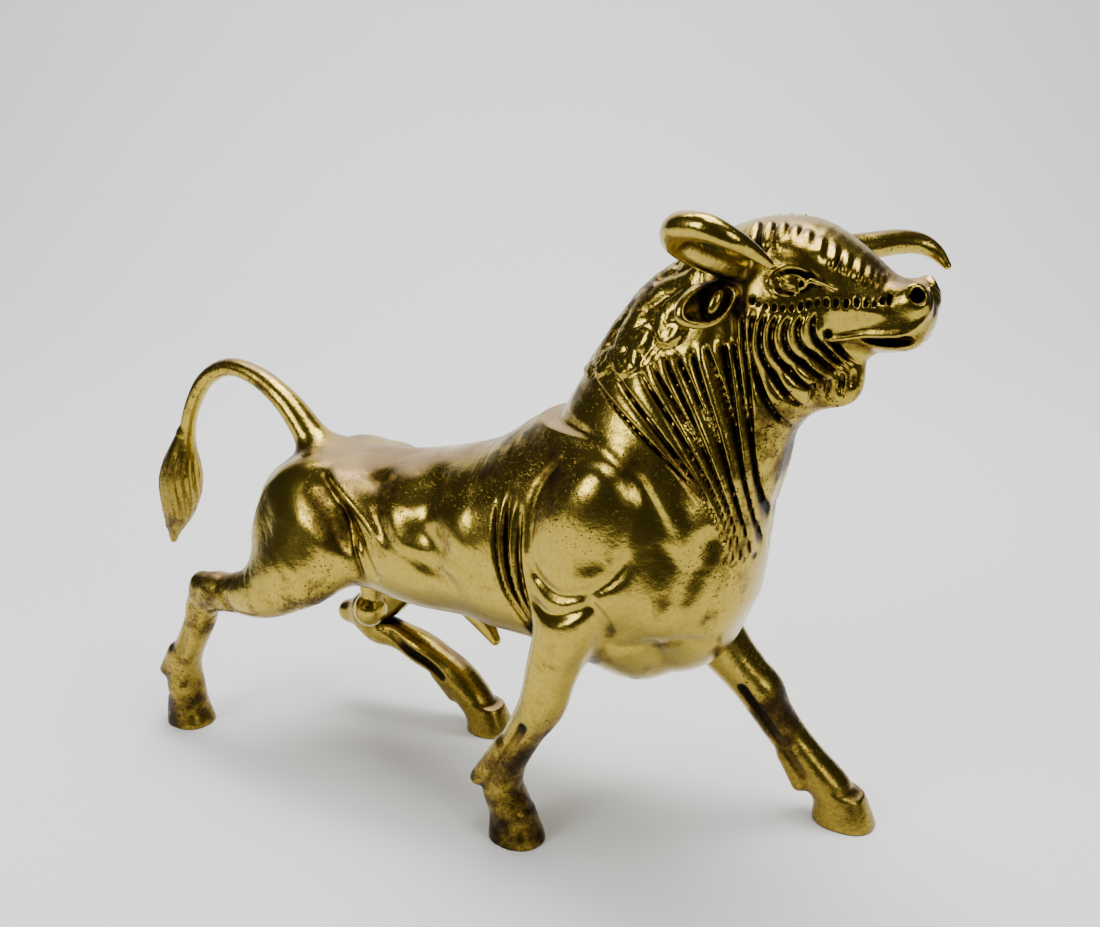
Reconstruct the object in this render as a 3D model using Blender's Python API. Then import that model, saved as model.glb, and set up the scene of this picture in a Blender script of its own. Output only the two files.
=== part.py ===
"""Striding bull, one hollow brass casting standing on its own four hooves.

The figure is modelled as clay on a grid: tubes, muscles and presses are blended into one distance
field, the neck folds and the mane are laid on as relief drawn on flat maps, and the field is
skinned, thinned to a light mesh and cut flat under the hooves.

Figure directions: +X is the way the bull walks, +Y its left side, +Z up. The tables below are in
figure millimetres, with the mid-plane of the body at y = 0 and the ground at z = 0.
"""

import math

import bmesh
import bpy
import numpy as np

# Driving sizes: the finished length in metres, over the drawn length in figure millimetres
LENGTH = 0.490
DRAWN_LENGTH = 500.0
UNIT = LENGTH / DRAWN_LENGTH
# Barrel, from hip to shoulder, and legs, from sole to elbow; what lies beyond them moves along
HIP = -62.0
DRAWN_BARREL = 146.0
BARREL_LENGTH = 146.0
DRAWN_LEG = 100.0
LEG_LENGTH = 100.0

# Middle of the finished outline, seen from above, in figure millimetres
MIDDLE = (-8.53, -10.14)

# Fineness of the clay grid and of the finished skin
CELL = 1.8
SKIN_TRIANGLES = 9600
GRID_LOW = (-278.0, -106.0, -9.0)
GRID_HIGH = (262.0, 90.0, 374.0)
FAR = 40.0

# Trunk, from rump to breast: x, y, z, up, down, side
TRUNK = (
    (-132, 0, 156, 30, 34, 34),
    (-106, 0, 156, 39, 42, 43),
    (-62, 0, 157, 41.5, 44, 44),
    (-22, 0, 159, 47.5, 46, 46),
    (16, 0, 162, 56.5, 51.5, 50),
    (50, 0, 166, 69, 59, 54),
    (84, 0, 166, 68, 65, 55),
    (110, 0, 164, 60, 66, 50),
    (126, 0, 163, 44, 52, 40),
)
TRUNK_ENDS = (20.0, 35.0)

# Neck, from the poll down to the breast: x, y, z, throat, crest, side
NECK = (
    (152, 0, 312, 30, 34, 27),
    (139, 0, 289, 44, 46, 33),
    (125, 0, 261, 57, 51, 39),
    (112, 0, 231, 62, 57, 46),
    (102, 0, 200, 60.5, 62, 51),
    (96, 0, 172, 56, 62, 50),
)

# Head, from the back of the skull to the muzzle: x, y, z, down, up, side
HEAD = (
    (146, 0, 315, 27, 31, 26),
    (162, 0, 318, 31, 31.5, 30),
    (180, 0, 317, 32, 31, 29),
    (198, 0, 313.5, 26, 24.5, 23.5),
    (213, 0, 310, 19, 17, 18.5),
    (227, 0, 308, 14.5, 14, 17),
)
HEAD_ENDS = (20.0, 14.0)

# Legs, from the body down: x, y, z, front, back, side
RIGHT_FORE = (
    (92, -42, 168, 26, 25, 18),
    (82, -47, 146, 20, 21, 16.5),
    (76, -50, 126, 15.5, 17, 15),
    (71, -52, 109, 13.5, 14.5, 13.5),
    (66, -53, 91, 13, 12.5, 13),
    (57, -53, 74, 10.5, 11, 11),
    (50, -53, 61, 10, 10.5, 10.5),
    (44, -52, 49, 10, 11.5, 10.5),
    (41, -51, 38, 10, 12, 11),
    (40.5, -50.5, 29, 10.5, 13, 12),
    (43.5, -50, 20, 11.5, 12, 12),
    (45.5, -50, 15, 11.5, 11.5, 11.5),
)
LEFT_FORE = (
    (108, 36, 140, 26, 26, 19),
    (119, 39, 117, 19, 20, 17),
    (133, 43, 98, 15, 15, 15),
    (146, 46, 83, 13.5, 13, 13.5),
    (154, 48, 73, 13, 13, 13),
    (164, 50, 58, 10.5, 12, 11.5),
    (174, 52, 45, 10, 12, 10.5),
    (184, 53, 34, 10, 12.5, 11),
    (191, 54, 26, 11, 12.5, 12),
    (197, 55, 19, 11.5, 11.5, 12),
    (200, 55, 15, 11, 11, 11.5),
)
RIGHT_HIND = (
    (-86, -37, 152, 28, 32, 19),
    (-106, -44, 131, 25, 24, 18.5),
    (-132, -46, 113, 17, 17.5, 15.5),
    (-154, -46.5, 105.5, 12.5, 13, 12.5),
    (-172, -46, 102, 12, 12, 11.5),
    (-184, -46, 93, 11.5, 11, 10.5),
    (-189, -46, 79, 10, 10, 9.5),
    (-196, -46, 66, 9.5, 9.5, 9.3),
    (-204, -45, 51, 9.3, 10.5, 9.5),
    (-209, -43.5, 38, 10.5, 12.5, 11),
    (-210, -43, 28, 11.5, 12.5, 12),
    (-210, -42.5, 20, 12, 11, 12),
    (-210, -42, 15, 11.5, 11, 11.5),
)
LEFT_HIND = (
    (-62, 36, 142, 31, 30, 19),
    (-76, 40, 118, 23, 23, 18),
    (-92, 41, 96, 17, 16, 15),
    (-106, 40, 79, 13.5, 13, 12.5),
    (-117, 39, 67, 12, 13, 11.5),
    (-113, 39.5, 57, 11.5, 12, 10.5),
    (-98, 40.5, 53.5, 10.5, 9.5, 9.5),
    (-82, 42, 48, 10, 9.2, 9.5),
    (-66, 43.5, 41.5, 10, 10.5, 10.5),
    (-52, 44, 32, 11.5, 12, 12),
    (-42, 44, 22, 12, 11.5, 12),
    (-37, 44, 16, 11.5, 11, 11.5),
)

# Hooves: x, y, heading in degrees, toe reach, heel reach, half width, crown height
HOOVES = (
    (46.5, -49.5, -8, 17.5, 15, 14.5, 18),
    (204.5, 55.5, -4, 19, 17.5, 15, 19),
    (-210, -42, -4, 16.5, 14.5, 14.5, 18),
    (-29, 45, 0, 16.5, 14.5, 14.5, 18),
)
HOOF_LEAN = 3.0

# Heel bumps above each hoof, in pairs: root x, z, radius, tip x, z, radius, middle y
HEELS = (
    (45, 60, 7.5, 27.5, 37, 5.0, -52.5),
    (172, 37, 6.5, 180, 21.5, 5.0, 52.5),
    (-211, 52, 6.5, -220.5, 38, 4.8, -43.5),
    (-64, 33, 6.5, -53.5, 21, 4.6, 44.5),
)
HEEL_SPREAD = 5.0

# Swellings of the legs: centre, reach along, across and up, direction, blend
LEG_FORMS = (
    # near fore leg: forearm, knee
    ((84, -56, 138), (22, 9, 11), (0.45, 0.0, 1.0), 6),
    ((67, -56, 93), (13, 9, 9), (0.4, 0.0, 1.0), 5),
    # far fore leg: forearm, knee
    ((129, 46, 105), (20, 10, 11), (-0.8, 0.0, 1.0), 6),
    ((155, 48, 76), (12, 10, 10), (-0.6, 0.0, 1.0), 5),
    # near hind leg: gaskin, hock, point of the hock
    ((-127, -49, 110.5), (28, 12, 13), (1.0, 0.0, 0.32), 5),
    ((-170, -48, 104), (12.5, 10, 12.5), (0.25, 0.0, 1.0), 3),
    ((-183, -46, 104.5), (9.5, 8, 9), (1.0, 0.0, 0.0), 5),
    # far hind leg: gaskin, hock, point of the hock, shin
    ((-104, 39, 84), (17, 12, 12), (0.6, 0.0, 1.0), 6),
    ((-121, 38, 67), (13, 10.5, 12), (1.0, 0.0, 0.4), 5),
    ((-135, 38, 63.5), (8.5, 7, 8), (1.0, 0.0, 0.0), 6),
    ((-78, 42, 47), (22, 10.5, 9), (1.0, 0.0, -0.42), 6),
)
# Grooves of the legs: x, y, z, radius along each
LEG_GROOVES = (
    ((60, -64, 80, 1.0), (50, -64.5, 61, 1.5), (42, -63.5, 46, 1.5), (36, -63, 32, 1.0)),
    ((147, 34, 81, 1.0), (161, 38, 61, 1.6), (172, 41, 44, 1.6), (183, 41.5, 30, 1.0)),
    ((-185, -57, 93, 1.0), (-192, -57, 76, 1.5), (-200, -56, 58, 1.5), (-206, -56, 42, 1.0)),
    ((-153, -57, 120, 1.5), (-154.5, -61, 110, 2.6), (-152, -58, 98, 1.5)),
    ((-182, -59, 95, 1.2), (-171, -60.5, 96, 2.0), (-160, -59, 100, 1.2)),
    ((-102, 29.5, 62, 1.0), (-86, 31.5, 50.5, 1.5), (-70, 33, 43.5, 1.5), (-58, 33, 35, 1.0)),
)
LEG_GROOVE_BLEND = 4.0

# Tail: x, y, z, front, back, side
TAIL = (
    (-112, 0, 182, 16, 14, 15),
    (-127, 0, 199, 10.5, 9.5, 11),
    (-144, 0, 217, 7.5, 8, 8.5),
    (-166, 0, 231, 6.3, 6.3, 7),
    (-190, 0, 235, 5.7, 5.7, 6.2),
    (-212, 0, 224, 5.3, 5.3, 5.8),
    (-227, 0, 202, 4.9, 4.9, 5.4),
    (-235, 0, 178, 5, 5, 5.5),
)
TUFT = (
    (-235, 0, 184, 5.5, 5.5, 6),
    (-239, 0, 167, 11.5, 11.5, 11),
    (-243, 0, 149, 15, 14.5, 13.5),
    (-247, 0, 131, 11.5, 11.5, 10.5),
    (-253, 0, 114, 5, 5, 5),
    (-255, 0, 106, 2.5, 2.5, 2.5),
)

# Horns, round: x, y, z, radius
RIGHT_HORN = (
    (163, -8, 327, 9),
    (158, -19, 328.5, 8),
    (154, -30, 330, 7.5),
    (150, -42, 333.5, 7.2),
    (144.5, -58, 339.5, 7),
    (142.5, -71, 346, 6.8),
    (149, -81, 352, 6.6),
    (162, -85.5, 353, 6),
    (172, -83, 349, 5),
    (178, -76, 344, 3.8),
    (184, -67, 337, 2.2),
)
LEFT_HORN = (
    (166, 10, 328, 9),
    (178, 24, 330, 8),
    (189, 36, 331, 7.2),
    (198, 46, 332, 6.8),
    (207, 57, 333, 6.3),
    (216, 65, 332, 5.4),
    (224, 67, 328, 4),
    (231, 64, 322, 2.2),
)

# Muscles: sides, centre on the left, reach along, across and up, direction, blend
BOTH = (1, -1)
RIGHT = (-1,)
LEFT = (1,)
MUSCLES = (
    # shoulder blade, upper arm with its two bulges, point of the shoulder, breast
    (BOTH, (94, 38, 196), (44, 18, 30), (0.35, 0.0, 1.0), 14),
    (BOTH, (88, 43, 172), (33, 15, 24), (-0.75, 0.0, 0.75), 7),
    (BOTH, (89, 50, 197), (35, 13, 21), (0.45, 0.0, 1.0), 4),
    (BOTH, (133, 34, 204), (27, 14, 14), (-0.35, 0.0, 1.0), 5),
    (BOTH, (121, 34, 164), (30, 16, 21), (-0.3, 0.0, 1.0), 12),
    (BOTH, (135, 15, 150), (31, 16, 17), (0.25, 0.0, 1.0), 12),
    # barrel
    (BOTH, (30, 22, 160), (46, 28, 38), (1.0, 0.0, 0.0), 16),
    (BOTH, (-30, 18, 153), (52, 28, 34), (1.0, 0.0, 0.0), 16),
    # croup, haunches, back of the stretched thigh, hip bone
    (BOTH, (-106, 24, 166), (35, 21, 28), (1.0, 0.0, 0.25), 14),
    (RIGHT, (-114, 32, 146), (41, 18, 27), (0.3, 0.0, 1.0), 12),
    (RIGHT, (-130, 34, 139), (27, 14, 15), (0.1, 0.0, 1.0), 10),
    (LEFT, (-104, 32, 152), (36, 18, 28), (-0.3, 0.0, 1.0), 12),
    (BOTH, (-70, 31, 178), (17, 8, 8), (1.0, 0.0, -0.7), 12),
)

# Creases pressed into both flanks, seen from the side: depth, width, then x, z along the crease;
# a depth below nought is a ridge
CREASES = (
    # rib folds behind the shoulder, with sharp ridges between
    (2.6, 1.3, (36, 207), (37.5, 186), (41, 162), (49, 140), (57, 122)),
    (3.6, 1.9, (44, 211), (44.5, 186), (47, 162), (53, 140), (59, 122)),
    (3.4, 2.0, (53, 206), (52.5, 184), (53.5, 162), (57, 141), (60, 122)),
    (-1.2, 1.1, (40.5, 208), (41, 184), (44, 162), (51, 139)),
    (-1.2, 1.1, (48.5, 208), (48.5, 184), (50, 162), (55, 139)),
    # back rim and foot of the upper arm
    (2.0, 3.4, (80, 232), (65, 214), (60, 194), (60, 174)),
    (2.2, 3.6, (58, 188), (64, 168), (78, 161), (93, 164), (108, 173), (117, 192)),
    # top of the forearm and front of the elbow
    (2.0, 3.2, (55, 154), (72, 148.5), (86, 151.5), (101, 160)),
    (1.9, 3.4, (94, 165), (103, 149), (99, 127)),
    # between the upper arm and the point of the shoulder, under the mane, across the breast
    (2.2, 5.0, (114, 240), (119, 214), (116, 190), (110, 170)),
    (2.0, 4.5, (52, 242), (90, 238), (116, 222), (140, 190)),
    (1.6, 6.0, (134, 146), (146, 182), (153, 204)),
    (1.5, 4.0, (92, 129), (114, 131.5), (138, 138.5), (156, 130)),
    # costal arch, in two soft lines, and the slow waves of the flank
    (1.7, 6.5, (-40, 176), (0, 167), (20, 161), (46, 152)),
    (1.4, 5.5, (-54, 178), (-36, 165), (-24, 158), (-8, 153), (4, 149), (18, 136)),
    (2.2, 10.0, (-18, 214), (-14, 190), (-10, 166), (-2, 140)),
    (-1.8, 10.0, (-40, 204), (-36, 184), (-31, 166), (-24, 146)),
    (-1.8, 10.0, (10, 214), (10, 190), (14, 168), (20, 146)),
    (2.0, 8.0, (-60, 200), (-50, 186), (-44, 174), (-36, 158)),
    # edge of the flat back
    (1.5, 5.5, (-90, 187), (-40, 189), (0, 194), (42, 206)),
    # ridge below the hip bone and the hollow behind it
    (3.8, 5.0, (-98, 190), (-80, 180), (-66, 166), (-56, 150)),
    (-2.4, 2.6, (-90, 193), (-70, 183), (-52, 171), (-38, 158)),
    # front of the thigh and the skin fold before it
    (2.8, 3.0, (-76, 178), (-67, 160), (-61, 146), (-60, 130)),
    (1.8, 3.0, (-60, 166), (-52, 148), (-46, 132)),
)

# Grooves between the neck folds and jaw waves, seen from the side: top x, z, bottom x, z, bow,
# height where the groove fades out
FOLDS = (
    (84, 266, 154.4, 200, 12, 178),
    (97, 271, 157, 184, 14, 178),
    (111, 275, 159.5, 184, 10.5, 178),
    (116.5, 280, 152, 226, 3, 178),
    (123, 284, 162, 184, 6.5, 178),
    (129, 286, 155.5, 232, 2, 178),
    (136.5, 288, 164.5, 184, 4, 178),
    (142, 292, 160.9, 236, 1.5, 178),
    (149, 293, 167, 184, 2.5, 178),
    (155, 294, 165.5, 240, 0, 180),
    (160, 308, 170, 184, 0, 184),
    (166, 309, 179, 252, -7, 252),
    (171.5, 309, 186, 262, -8, 262),
    (177, 309, 191.5, 270, -8.5, 270),
    (182.5, 309, 196, 275, -8, 275),
    (187.5, 309.5, 200, 279, -7, 278),
    (192.5, 310, 203.5, 281, -5.5, 281),
    (197.5, 303, 206.5, 284, -4, 284),
)
FOLD_RISE = 1.9
FOLD_RISE_SHARE = 0.26
GROOVE_DEPTH = 3.0
GROOVE_DEPTH_SHARE = 0.6
GROOVE_WIDTH = 1.0
FOLD_WINDOW = ((72, -75, 170), (217, 75, 326))
# The deep hollow behind the jaw: x, z along it, depth and width
JAW_HOLLOW = ((152, 323), (152, 300), (153, 275), (157, 245), (161, 220))
JAW_HOLLOW_DEPTH = 4.5
JAW_HOLLOW_WIDTH = 5.5

# Mane: its axis goes on above the neck's; the map's mm are as long as the neck's spans are there
MANE_AXIS = ((166, 0, 341, 30, 34, 27), *NECK)
MANE_SPAN = 30.4
MANE_ROUND = 0.84
MANE_SWELL = 0.4
MANE_FRONT = 152.0
STRAND_DEPTH = 1.1
MANE_WINDOW = ((20, -75, 205), (172, 75, 362))
# Lower edge of the mane: mm round from the crest, mm down from the poll
MANE_EDGE = ((0, 80), (15, 77), (29, 73), (44, 64), (50, 55), (57, 47), (66, 38))
# Locks: points (mm down, mm round), width, curl radius and side, strands, rise
MANE_LOCKS = (
    (((-22, 6), (-12, 12), (-4, 10)), 12, 3.5, 5, 1.6),
    (((-18, 20), (-8, 28), (2, 27)), 13, -3.5, 5, 1.8),
    (((-20, 36), (-10, 42), (0, 40)), 12, 3.0, 5, 1.6),
    (((-8, 4), (2, 11), (10, 10)), 11, 3.5, 4, 1.6),
    (((4, 3), (13, 10), (21, 9)), 11, 3.5, 4, 1.6),
    (((15, 3), (24, 10), (32, 9)), 11, 3.5, 4, 1.6),
    (((27, 3), (36, 10), (44, 9)), 11, 3.5, 4, 1.6),
    (((39, 2), (48, 9), (56, 8)), 11, 3.5, 4, 1.6),
    (((52, 1), (61, 6), (70, 9)), 12, 4.0, 5, 1.6),
    (((-6, 42), (6, 37), (17, 28), (27, 26)), 15, -4.0, 6, 2.4),
    (((0, 52), (12, 46), (24, 43), (33, 50)), 15, 5.0, 6, 2.6),
    (((18, 22), (30, 22), (42, 30), (46, 38)), 15, 4.0, 6, 2.4),
    (((32, 31), (44, 27), (54, 33), (58, 41)), 14, 4.0, 6, 2.4),
    (((42, 14), (53, 12), (63, 19), (66, 26)), 14, 4.5, 6, 2.4),
    (((58, 6), (68, 8), (75, 14)), 12, 3.5, 5, 2.0),
)

# Head swellings, both sides alike
FACE = (
    # cheek, jaw corner, brow, cheek bone, nostril flare, lip
    ((172, 20, 305), (20, 12, 17), (1.0, 0.0, -0.2), 8),
    ((166, 19, 292), (15, 10, 11), (1.0, 0.0, 0.2), 8),
    ((182, 20, 335), (13, 8, 7), (1.0, 0.0, -0.25), 6),
    ((200, 15, 315), (22, 7, 6), (1.0, 0.0, -0.15), 6),
    ((231, 10, 316), (9, 7, 6.5), (1.0, 0.0, -0.4), 5),
    ((222, 8, 299), (14, 8, 6), (1.0, 0.0, -0.1), 6),
)
# Forehead locks, eyes and upper lip on the left side; the right side mirrors them
BROW_ROW = (
    (160, 20, 342),
    (174, 20, 343),
    (187, 20, 339.5),
    (200, 16.5, 333),
    (211, 12.5, 327),
    (217, 10, 323.5),
)
BROW_LOCKS = 12
BROW_LOCK = (10.0, 3.3, 3.1)
EYE_LINE = (1.0, -0.15, -0.12)
EYE_SOCKET = (181, 31.5, 323.5)
EYE_BALL = (181, 25.6, 323.3)
EAR = (146, 42, 312)
EAR_LINE = (-16, 18, -9)
NOSTRIL = (233.5, 12.3, 319)
NOSTRIL_LINE = (0.56, 0.82, 0.1)
LIP_LINE = (
    (198, 18, 297),
    (205, 17.5, 298.5),
    (214, 16.8, 300.5),
    (227, 16.5, 301.8),
    (234, 14, 305),
    (238, 11.5, 310),
    (239, 6.5, 317),
    (237, 3, 321),
)
# Curves and shapes
def through(rows, count):
    """Smooth rows through the landmark rows, every column eased alike."""
    rows = np.asarray(rows, float)
    padded = np.vstack((2 * rows[0] - rows[1], rows, 2 * rows[-1] - rows[-2]))
    spans = len(rows) - 1
    out = []
    for step in range(count + 1):
        place = step / count * spans
        first = min(int(place), spans - 1)
        t = place - first
        p0, p1, p2, p3 = padded[first : first + 4]
        curve = 2 * p1 + (p2 - p0) * t
        curve += (2 * p0 - 5 * p1 + 4 * p2 - p3) * t**2
        curve += (3 * p1 - p0 - 3 * p2 + p3) * t**3
        out.append(curve / 2)
    return np.array(out)


def radial(parts, radii, power=2.0):
    """Signed distance, near enough, to a rounded body with the given reach along each part."""
    total = sum(np.abs(part / reach) ** power for part, reach in zip(parts, radii))
    ratio = total ** (1.0 / power)
    length = np.sqrt(sum(part * part for part in parts))
    core = -np.min([np.min(reach) for reach in radii])
    return np.where(ratio < 0.02, core, length - length / np.maximum(ratio, 0.02))


class Tube:
    """A limb along a curve, with its own reach to the front, the back and the sides."""

    def __init__(self, rows, ends=None, power=2.0, smooth=4):
        rows = np.asarray(rows, float)
        if rows.shape[1] == 4:
            rows = np.column_stack((rows, rows[:, 3], rows[:, 3]))
        fine = through(rows, smooth * (len(rows) - 1))
        self.axis = fine[:, :3]
        self.reach = np.maximum(fine[:, 3:], 0.8)
        self.ends = ends
        self.power = power
        ahead = np.gradient(self.axis, axis=0)
        ahead /= np.linalg.norm(ahead, axis=1)[:, None]
        side = np.array((0.0, 1.0, 0.0)) - ahead * ahead[:, 1:2]
        side /= np.maximum(np.linalg.norm(side, axis=1)[:, None], 1e-6)
        self.ahead = ahead
        self.side = side
        self.front = np.cross(ahead, side)
        widest = self.reach.max()
        self.low = self.axis.min(axis=0) - widest
        self.high = self.axis.max(axis=0) + widest

    def chart(self, x, y, z):
        """Where each point lies along the axis, and its offsets from it."""
        best = np.full(np.broadcast(x, y, z).shape, 1e12, np.float32)
        place = np.zeros_like(best)
        for index in range(len(self.axis) - 1):
            a = self.axis[index]
            b = self.axis[index + 1]
            ab = b - a
            t = ((x - a[0]) * ab[0] + (y - a[1]) * ab[1] + (z - a[2]) * ab[2]) / (ab @ ab)
            t = np.clip(t, 0.0, 1.0)
            gap = (x - a[0] - t * ab[0]) ** 2 + (y - a[1] - t * ab[1]) ** 2
            gap = gap + (z - a[2] - t * ab[2]) ** 2
            nearer = gap < best
            best = np.where(nearer, gap, best)
            place = np.where(nearer, index + t, place)
        knots = np.arange(len(self.axis))

        def at(values):
            return np.interp(place, knots, values)

        away = [value - at(self.axis[:, k]) for k, value in enumerate((x, y, z))]
        across = sum(away[k] * at(self.side[:, k]) for k in range(3))
        forward = sum(away[k] * at(self.front[:, k]) for k in range(3))
        along = sum(away[k] * at(self.ahead[:, k]) for k in range(3))
        return place / knots[-1], across, forward, along, at

    def distance(self, x, y, z):
        _, across, forward, along, at = self.chart(x, y, z)
        front = at(self.reach[:, 0])
        back = at(self.reach[:, 1])
        side = at(self.reach[:, 2])
        depth = np.where(forward > 0, front, back)
        end = side if self.ends is None else np.where(along < 0, self.ends[0], self.ends[1])
        return radial((across, forward, along), (side, depth, end), self.power)


class Muscle:
    """An egg-shaped swelling: reach along its direction, across and up."""

    def __init__(self, centre, radii, direction, power=2.0):
        self.centre = np.asarray(centre, float)
        along = np.asarray(direction, float)
        along /= np.linalg.norm(along)
        across = np.array((0.0, 1.0, 0.0)) - along * along[1]
        across /= np.linalg.norm(across)
        self.frame = (along, across, np.cross(along, across))
        self.radii = radii
        self.power = power
        self.low = self.centre - max(radii)
        self.high = self.centre + max(radii)

    def distance(self, x, y, z):
        away = (x - self.centre[0], y - self.centre[1], z - self.centre[2])
        parts = [sum(away[k] * unit[k] for k in range(3)) for unit in self.frame]
        return radial(parts, self.radii, self.power)


class Mirrored:
    """The same shape on the other side of the body."""

    def __init__(self, shape):
        self.shape = shape
        self.low = shape.low * (1, -1, 1)
        self.high = shape.high * (1, -1, 1)
        self.low[1], self.high[1] = self.high[1], self.low[1]

    def distance(self, x, y, z):
        return self.shape.distance(x, -y, z)


class Hoof:
    """A bell that flares to the ground, longer at the toe than at the heel."""

    def __init__(self, x, y, heading, toe, heel, half, crown):
        self.centre = np.array((x, y, 0.0))
        self.turn = math.radians(heading)
        self.sizes = (toe, heel, half, crown)
        self.low = np.array((x - toe - 4, y - toe - 4, -9.0))
        self.high = np.array((x + toe + 4, y + toe + 4, crown + 6.0))

    def distance(self, x, y, z):
        toe, heel, half, crown = self.sizes
        c = math.cos(self.turn)
        s = math.sin(self.turn)
        up = np.clip(z / crown, -0.3, 1.2)
        forward = (x - self.centre[0]) * c + (y - self.centre[1]) * s + HOOF_LEAN * up
        across = (y - self.centre[1]) * c - (x - self.centre[0]) * s
        narrow = 1.0 - 0.26 * np.clip(up, 0.0, 1.2) ** 1.3
        reach = np.where(forward > 0, toe, heel) * narrow
        wall = radial((forward, across), (reach, half * narrow), 2.3)
        return np.maximum(np.maximum(wall, z - crown), -5.0 - z)


# Clay
class Clay:
    """A block of clay held as signed distances on a regular grid."""

    def __init__(self, low, high, cell):
        self.low = np.asarray(low, float)
        self.cell = cell
        counts = np.ceil((np.asarray(high) - self.low) / cell).astype(int) + 1
        self.axes = [self.low[k] + cell * np.arange(counts[k]) for k in range(3)]
        self.field = np.full(counts, FAR, np.float32)

    def block(self, low, high, margin):
        """The part of the grid round a box, with its coordinates."""
        window = []
        for k in range(3):
            start = np.searchsorted(self.axes[k], low[k] - margin)
            stop = np.searchsorted(self.axes[k], high[k] + margin)
            window.append(slice(start, stop))
        x = self.axes[0][window[0]].astype(np.float32)[:, None, None]
        y = self.axes[1][window[1]].astype(np.float32)[None, :, None]
        z = self.axes[2][window[2]].astype(np.float32)[None, None, :]
        return tuple(window), x, y, z

    def add(self, shape, blend):
        window, x, y, z = self.block(shape.low, shape.high, blend + 2 * self.cell)
        if self.field[window].size == 0:
            return
        new = shape.distance(x, y, z)
        old = self.field[window]
        near = np.maximum(blend - np.abs(old - new), 0.0) / blend
        self.field[window] = np.minimum(old, new) - near * near * blend / 4

    def cut(self, shape, blend):
        window, x, y, z = self.block(shape.low, shape.high, blend + 2 * self.cell)
        if self.field[window].size == 0:
            return
        new = -shape.distance(x, y, z)
        old = self.field[window]
        near = np.maximum(blend - np.abs(old - new), 0.0) / blend
        self.field[window] = np.maximum(old, new) + near * near * blend / 4

    def add_pair(self, shape, blend):
        self.add(shape, blend)
        self.add(Mirrored(shape), blend)

    def cut_pair(self, shape, blend):
        self.cut(shape, blend)
        self.cut(Mirrored(shape), blend)

    def crease(self, depth, width, points):
        """Press a line into both flanks; it is drawn from the side."""
        fine = through(points, 6 * (len(points) - 1))
        low = (fine[:, 0].min(), self.low[1], fine[:, 1].min())
        high = (fine[:, 0].max(), self.axes[1][-1], fine[:, 1].max())
        window, x, y, z = self.block(low, high, 3 * width)
        share, across = beside(x[:, 0, :], z[:, 0, :], fine)
        fade = smooth_step(share, 0.0, 0.25) * smooth_step(1.0 - share, 0.0, 0.25)
        press = depth * np.exp(-((across / width) ** 2)) * fade
        flank = smooth_step(np.abs(y), 14.0, 14.0)
        self.field[window] += press[:, None, :] * flank


def part_of(array, corner):
    """The array seen from one corner of every grid cell."""
    return array[tuple(slice(c, n - 1 + c) for c, n in zip(corner, array.shape))]


def settle(field):
    """Fill the pinch points where a cell's surface would touch itself."""
    inside = field < 0
    for _ in range(12):
        filled = 0
        for axis in range(3):
            u, v = [k for k in range(3) if k != axis]
            ring = []
            for du, dv in ((0, 0), (1, 0), (0, 1), (1, 1)):
                window = [slice(None)] * 3
                window[u] = slice(du, inside.shape[u] - 1 + du)
                window[v] = slice(dv, inside.shape[v] - 1 + dv)
                ring.append(inside[tuple(window)])
            a, b, c, d = ring
            pinch_b = a & d & ~b & ~c
            pinch_a = ~a & ~d & b & c
            filled += int(pinch_a.sum() + pinch_b.sum())
            b |= pinch_b
            a |= pinch_a
        for i, j in ((0, 0), (0, 1), (1, 0), (1, 1)):
            near = part_of(inside, (0, i, j))
            far = part_of(inside, (1, 1 - i, 1 - j))
            corners = [(p, q, r) for p in (0, 1) for q in (0, 1) for r in (0, 1)]
            count = sum(part_of(inside, corner).astype(np.int8) for corner in corners)
            hollow = ~near & ~far & (count == 6)
            lone = near & far & (count == 2)
            filled += int(hollow.sum() + lone.sum())
            near |= hollow
            near &= ~lone
        if not filled:
            break
    field[inside & (field >= 0)] = -0.02
    field[~inside & (field < 0)] = 0.02


def skin(clay):
    """Vertices and quads of the surface where the field is zero, one vertex to a mixed cell."""
    field = clay.field
    settle(field)
    inside = field < 0
    shape = np.array(field.shape)
    corners = [(i, j, k) for i in (0, 1) for j in (0, 1) for k in (0, 1)]
    hits = sum(part_of(inside, corner).astype(np.int8) for corner in corners)
    mixed = (hits > 0) & (hits < 8)
    cells = np.argwhere(mixed)
    number = np.full(mixed.shape, -1, np.int64)
    number[mixed] = np.arange(len(cells))

    total = np.zeros((len(cells), 3))
    count = np.zeros(len(cells))
    for a in corners:
        for axis in range(3):
            if a[axis]:
                continue
            b = tuple(1 if k == axis else a[k] for k in range(3))
            fa = field[tuple((cells + a).T)].astype(float)
            fb = field[tuple((cells + b).T)].astype(float)
            cross = (fa < 0) != (fb < 0)
            t = np.where(cross, fa / np.where(cross, fa - fb, 1.0), 0.0)
            point = np.tile(np.array(a, float), (len(cells), 1))
            point[:, axis] = t
            total += np.where(cross[:, None], point, 0.0)
            count += cross
    vertices = clay.low + clay.cell * (cells + total / count[:, None])

    quads = []
    for axis in range(3):
        u = (axis + 1) % 3
        v = (axis + 2) % 3
        first = inside.take(range(shape[axis] - 1), axis)
        second = inside.take(range(1, shape[axis]), axis)
        for flip, edge in ((False, first & ~second), (True, ~first & second)):
            places = np.argwhere(edge)
            keep = (places[:, u] > 0) & (places[:, v] > 0)
            keep &= (places[:, u] < shape[u] - 1) & (places[:, v] < shape[v] - 1)
            places = places[keep]
            ring = []
            for du, dv in ((-1, -1), (0, -1), (0, 0), (-1, 0)):
                cell = places.copy()
                cell[:, u] += du
                cell[:, v] += dv
                ring.append(number[tuple(cell.T)])
            quad = np.stack(ring, axis=1)
            quads.append(quad[:, ::-1] if flip else quad)
    return vertices, np.vstack(quads)
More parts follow.
